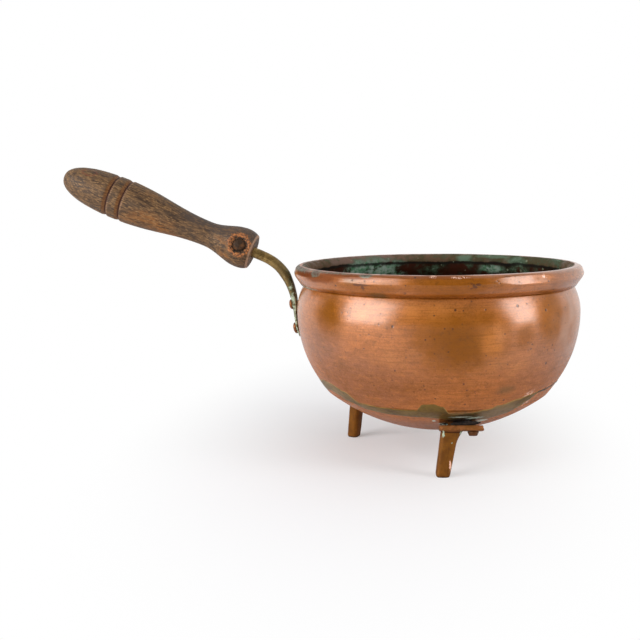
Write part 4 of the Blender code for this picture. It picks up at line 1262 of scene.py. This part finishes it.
leg_material, tree, output = new_material("leg_bronze_brown")
here = object_place(tree)
level = split(here)["Z"]
broad = cloud(here, 150, 4, 0.6)
fine = cloud(here, 800, 4, 0.6)
streaks = cloud(here, 500, 4, 0.6, flat=0.15)
ragged = cloud(here, 900, 3, 0.7)
colour = tinted((0.198, 0.074, 0.010), broad, 0.38, 0.65, (0.140, 0.050, 0.008))
colour = tinted(colour, streaks, 0.5, 0.75, (0.08, 0.030, 0.006), 0.5)
colour = tinted(colour, fine, 0.6, 0.75, (0.08, 0.04, 0.02), 0.5)
coppery = rise(level, 0.0246, 0.0252) * rise(broad, 0.35, 0.5, 0.4, 1.0)
colour = mixed(coppery, colour, (0.29, 0.105, 0.032))
mottled = coppery * rise(cloud(here, 480, 4, 0.7), 0.48, 0.60, 0.0, 0.7)
colour = mixed(mottled, colour, (0.11, 0.040, 0.008))
# Painted shadow: a dark line along the underside of the plate.
painted_shadow_under_plate = rise(level, 0.0241, 0.0246) * rise(level, 0.0254, 0.0250)
colour = mixed(painted_shadow_under_plate * 0.8, colour, (0.040, 0.010, 0.003))
mint = greatest(
    leg_spot(here, ragged, (0.0747, -0.0562, 0.0235), (0.0007, 0.004, 0.0014)),
    leg_spot(here, ragged, (0.0846, -0.0550, 0.0240), (0.0011, 0.006, 0.0009)),
    leg_spot(here, ragged, (0.0795, -0.0565, 0.0190), (0.0004, 0.003, 0.0004)),
)
colour = mixed(mint, colour, (0.34, 0.40, 0.29))
knocked = leg_spot(here, ragged, (0.0786, -0.0580, 0.0062), (0.0006, 0.004, 0.0026))
colour = mixed(knocked, colour, (0.85, 0.50, 0.36))
sole = rise(level + rise(ragged, 0.3, 0.7, -0.0003, 0.0003), 0.0011, 0.0006)
colour = mixed(sole * 0.7, colour, (0.045, 0.018, 0.006))
colour, outside = corroded_inside(colour)
bump = raised(fine, 0.3, 0.0003)
surfaced(output, colour, rise(fine, 0.3, 0.7, 0.45, 0.6), bump, metallic=outside * 0.3, specular=0.12)


def leg_rings(foot, top, out, along, normal, seed):
    """The post, from its worn sole up to the plate, where it ends on the plate's slope."""
    rings = []
    for i in range(LEG_PLACES + 1):
        share = max(0.0, (i - 3) / (LEG_PLACES - 3))
        drawn_in, lift, wear = FOOT_EDGE[i] if i < len(FOOT_EDGE) else FOOT_TOP
        centre = foot.lerp(top, share) + Vector((0, 0, lift * (1 - share)))
        half_width = ((FOOT_WIDTH + (TOP_WIDTH - FOOT_WIDTH) * share) / 2 - wear) * (1 - drawn_in)
        half_thick = ((FOOT_THICK + (TOP_THICK - FOOT_THICK) * share) / 2 - wear) * (1 - drawn_in)
        flare = FLARE * max(0.0, (share - FLARE_START) / (1 - FLARE_START)) ** 2
        ring = []
        for k in range(LEG_STEPS):
            x, y = superellipse(tau * k / LEG_STEPS, half_width, half_thick, LEG_POWER)
            point = centre + along * (x + flare * max(0.0, x / half_width)) + out * y
            point -= (along * x + out * y) * 0.03 * (1 + uneven(point, 0.006, seed))
            if i == LEG_PLACES:
                point.z -= (point - top).dot(normal) / normal.z
            ring.append(point)
        rings.append(ring)
    return rings


def plate_rings(along, normal, top, seed):
    """The foot plate, from its top face down, as a rounded rectangle with eased edges."""
    across = normal.cross(along).normalized()
    middle = (PLATE_TOE - PLATE_HEEL) / 2
    half_length = (PLATE_TOE + PLATE_HEEL) / 2
    rings = []
    for drop, shrink in PLATE_EDGE:
        ring = []
        for k in range(PLATE_STEPS):
            angle = tau * k / PLATE_STEPS
            a, c = superellipse(angle, half_length - shrink, PLATE_DEPTH / 2 - shrink, PLATE_POWER)
            point = top + along * (middle + a) + across * c - normal * drop
            ragged = 0.015 * (1 + uneven(point, 0.004, seed))
            ragged += 0.05 * hump(a, half_length, 0.004) * (1 + uneven(point, 0.0018, seed + 3))
            ring.append(point - (along * a + across * c) * ragged)
        rings.append(ring)
    return rings


def joined(name, pieces):
    """One object from several."""
    with bpy.context.temp_override(active_object=pieces[0], selected_editable_objects=pieces):
        bpy.ops.object.join()
    pieces[0].name = name
    return pieces[0]


def crusted(name, path, radii, seed):
    """A lumpy bead of corrosion along a path."""
    rings = []
    for centre, way, radius in zip(path, directions(path), radii):
        side_way = way.cross(Vector((0, 0, 1))).normalized()
        up_way = side_way.cross(way)
        ring = []
        for k in range(CRUST_STEPS):
            spoke = side_way * cos(tau * k / CRUST_STEPS) + up_way * sin(tau * k / CRUST_STEPS)
            point = centre + spoke * radius
            lumps = 1 + 0.5 * uneven(point, 0.0018, seed) + 0.3 * uneven(point, 0.0007, seed)
            ring.append(centre + spoke * radius * lumps)
        rings.append(ring)
    return skin(name, rings)


# The crust's near-black colour is partly black corrosion, partly painted shade of the gap that it fills.
crust_and_shade_material, tree, output = new_material("black_green_corrosion_and_painted_shade")
here = object_place(tree)
place = use_group(tree, place_on_bowl)["Place"]
fine = cloud(here, 900, 4, 0.6)
colour = tinted((0.008, 0.006, 0.005), fine, 0.4, 0.6, (0.035, 0.018, 0.012))
mint = blots(place, fine, ((-60, 84.0, 5.0, 1.2, 0.4, 2.2, 1.0), (-85, 84.4, 6.0, 0.8, 0.4, 2.2, 1.0)))
mint = greatest(mint, rise(cloud(here, 420, 4, 0.6), 0.66, 0.72))
surfaced(output, mixed(mint, colour, (0.50, 0.68, 0.56)), 0.85, raised(fine, 0.6, 0.0005))

for number, (node, azimuth, foot_radius, side, lean) in enumerate(LEGS):
    out, along, normal, top = leg_frame(azimuth, foot_radius, side, lean)
    path, radii = [], []
    crust_length = PLATE_TOE + PLATE_HEEL - CRUST_SHORTER
    for k in range(CRUST_PLACES):
        run = -PLATE_HEEL + CRUST_FROM_HEEL + crust_length * k / (CRUST_PLACES - 1)
        edge = top + along * run + out * (PLATE_DEPTH / 2 - CRUST_INSET)
        gap = reach_of_base(edge, normal, BALL_RADIUS)
        path.append(edge + normal * gap / 2)
        radii.append((gap / 2 + 0.0001) * sin(pi * (k + 1) / (CRUST_PLACES + 1)) ** 0.9)
    finish(crusted(f"{node}_crust", path, radii, 2.7 + number), crust_and_shade_material)

    foot = Vector((BOWL_X, 0, 0)) + out * foot_radius
    middle = top - normal * (PLATE_THICK / 2)
    post = skin(f"{node}_post", leg_rings(foot, middle, out, along, normal, 1.1 + number))
    plate = skin(f"{node}_plate", plate_rings(along, normal, top, 4.1 + number))
    seat = tail_seat(middle, normal)
    stem = [(SPIGOT_RADIUS, 0), (SPIGOT_RADIUS, -seat), *tail_outline(-seat)]
    inwards = aimed(middle, -normal)
    rings = [[inwards @ point for point in circle(*station, SPIGOT_STEPS)] for station in stem]
    leg = joined(f"{node}_cast", [post, plate, skin(f"{node}_spigot", rings)])
    mark_inside(leg)
    finish(leg, leg_material, node)

    at = top + along * LEG_RIVET_AT
    seat = PLATE_THICK + GAP
    outline = [(TIP_RADIUS, seat + LEG_HEAD_HEIGHT), (LEG_HEAD_TIP * 0.9, seat + LEG_HEAD_HEIGHT)]
    outline += [(LEG_HEAD_TIP, seat + LEG_HEAD_HEIGHT * 0.93), (LEG_HEAD_RADIUS, seat + 0.0002)]
    outline += [(LEG_HEAD_RADIUS * 0.97, seat), (RIVET_RADIUS, seat)]
    tail_at = -tail_seat(at, normal)
    outline += [(RIVET_RADIUS, tail_at), *tail_outline(tail_at)]
    rivet = beaten(f"{node}_rivet_head", outline, aimed(at, -normal), 0.00006, 5.5 + number)
    mark_inside(rivet)
    finish(rivet, rivet_material, f"{node}_rivet")
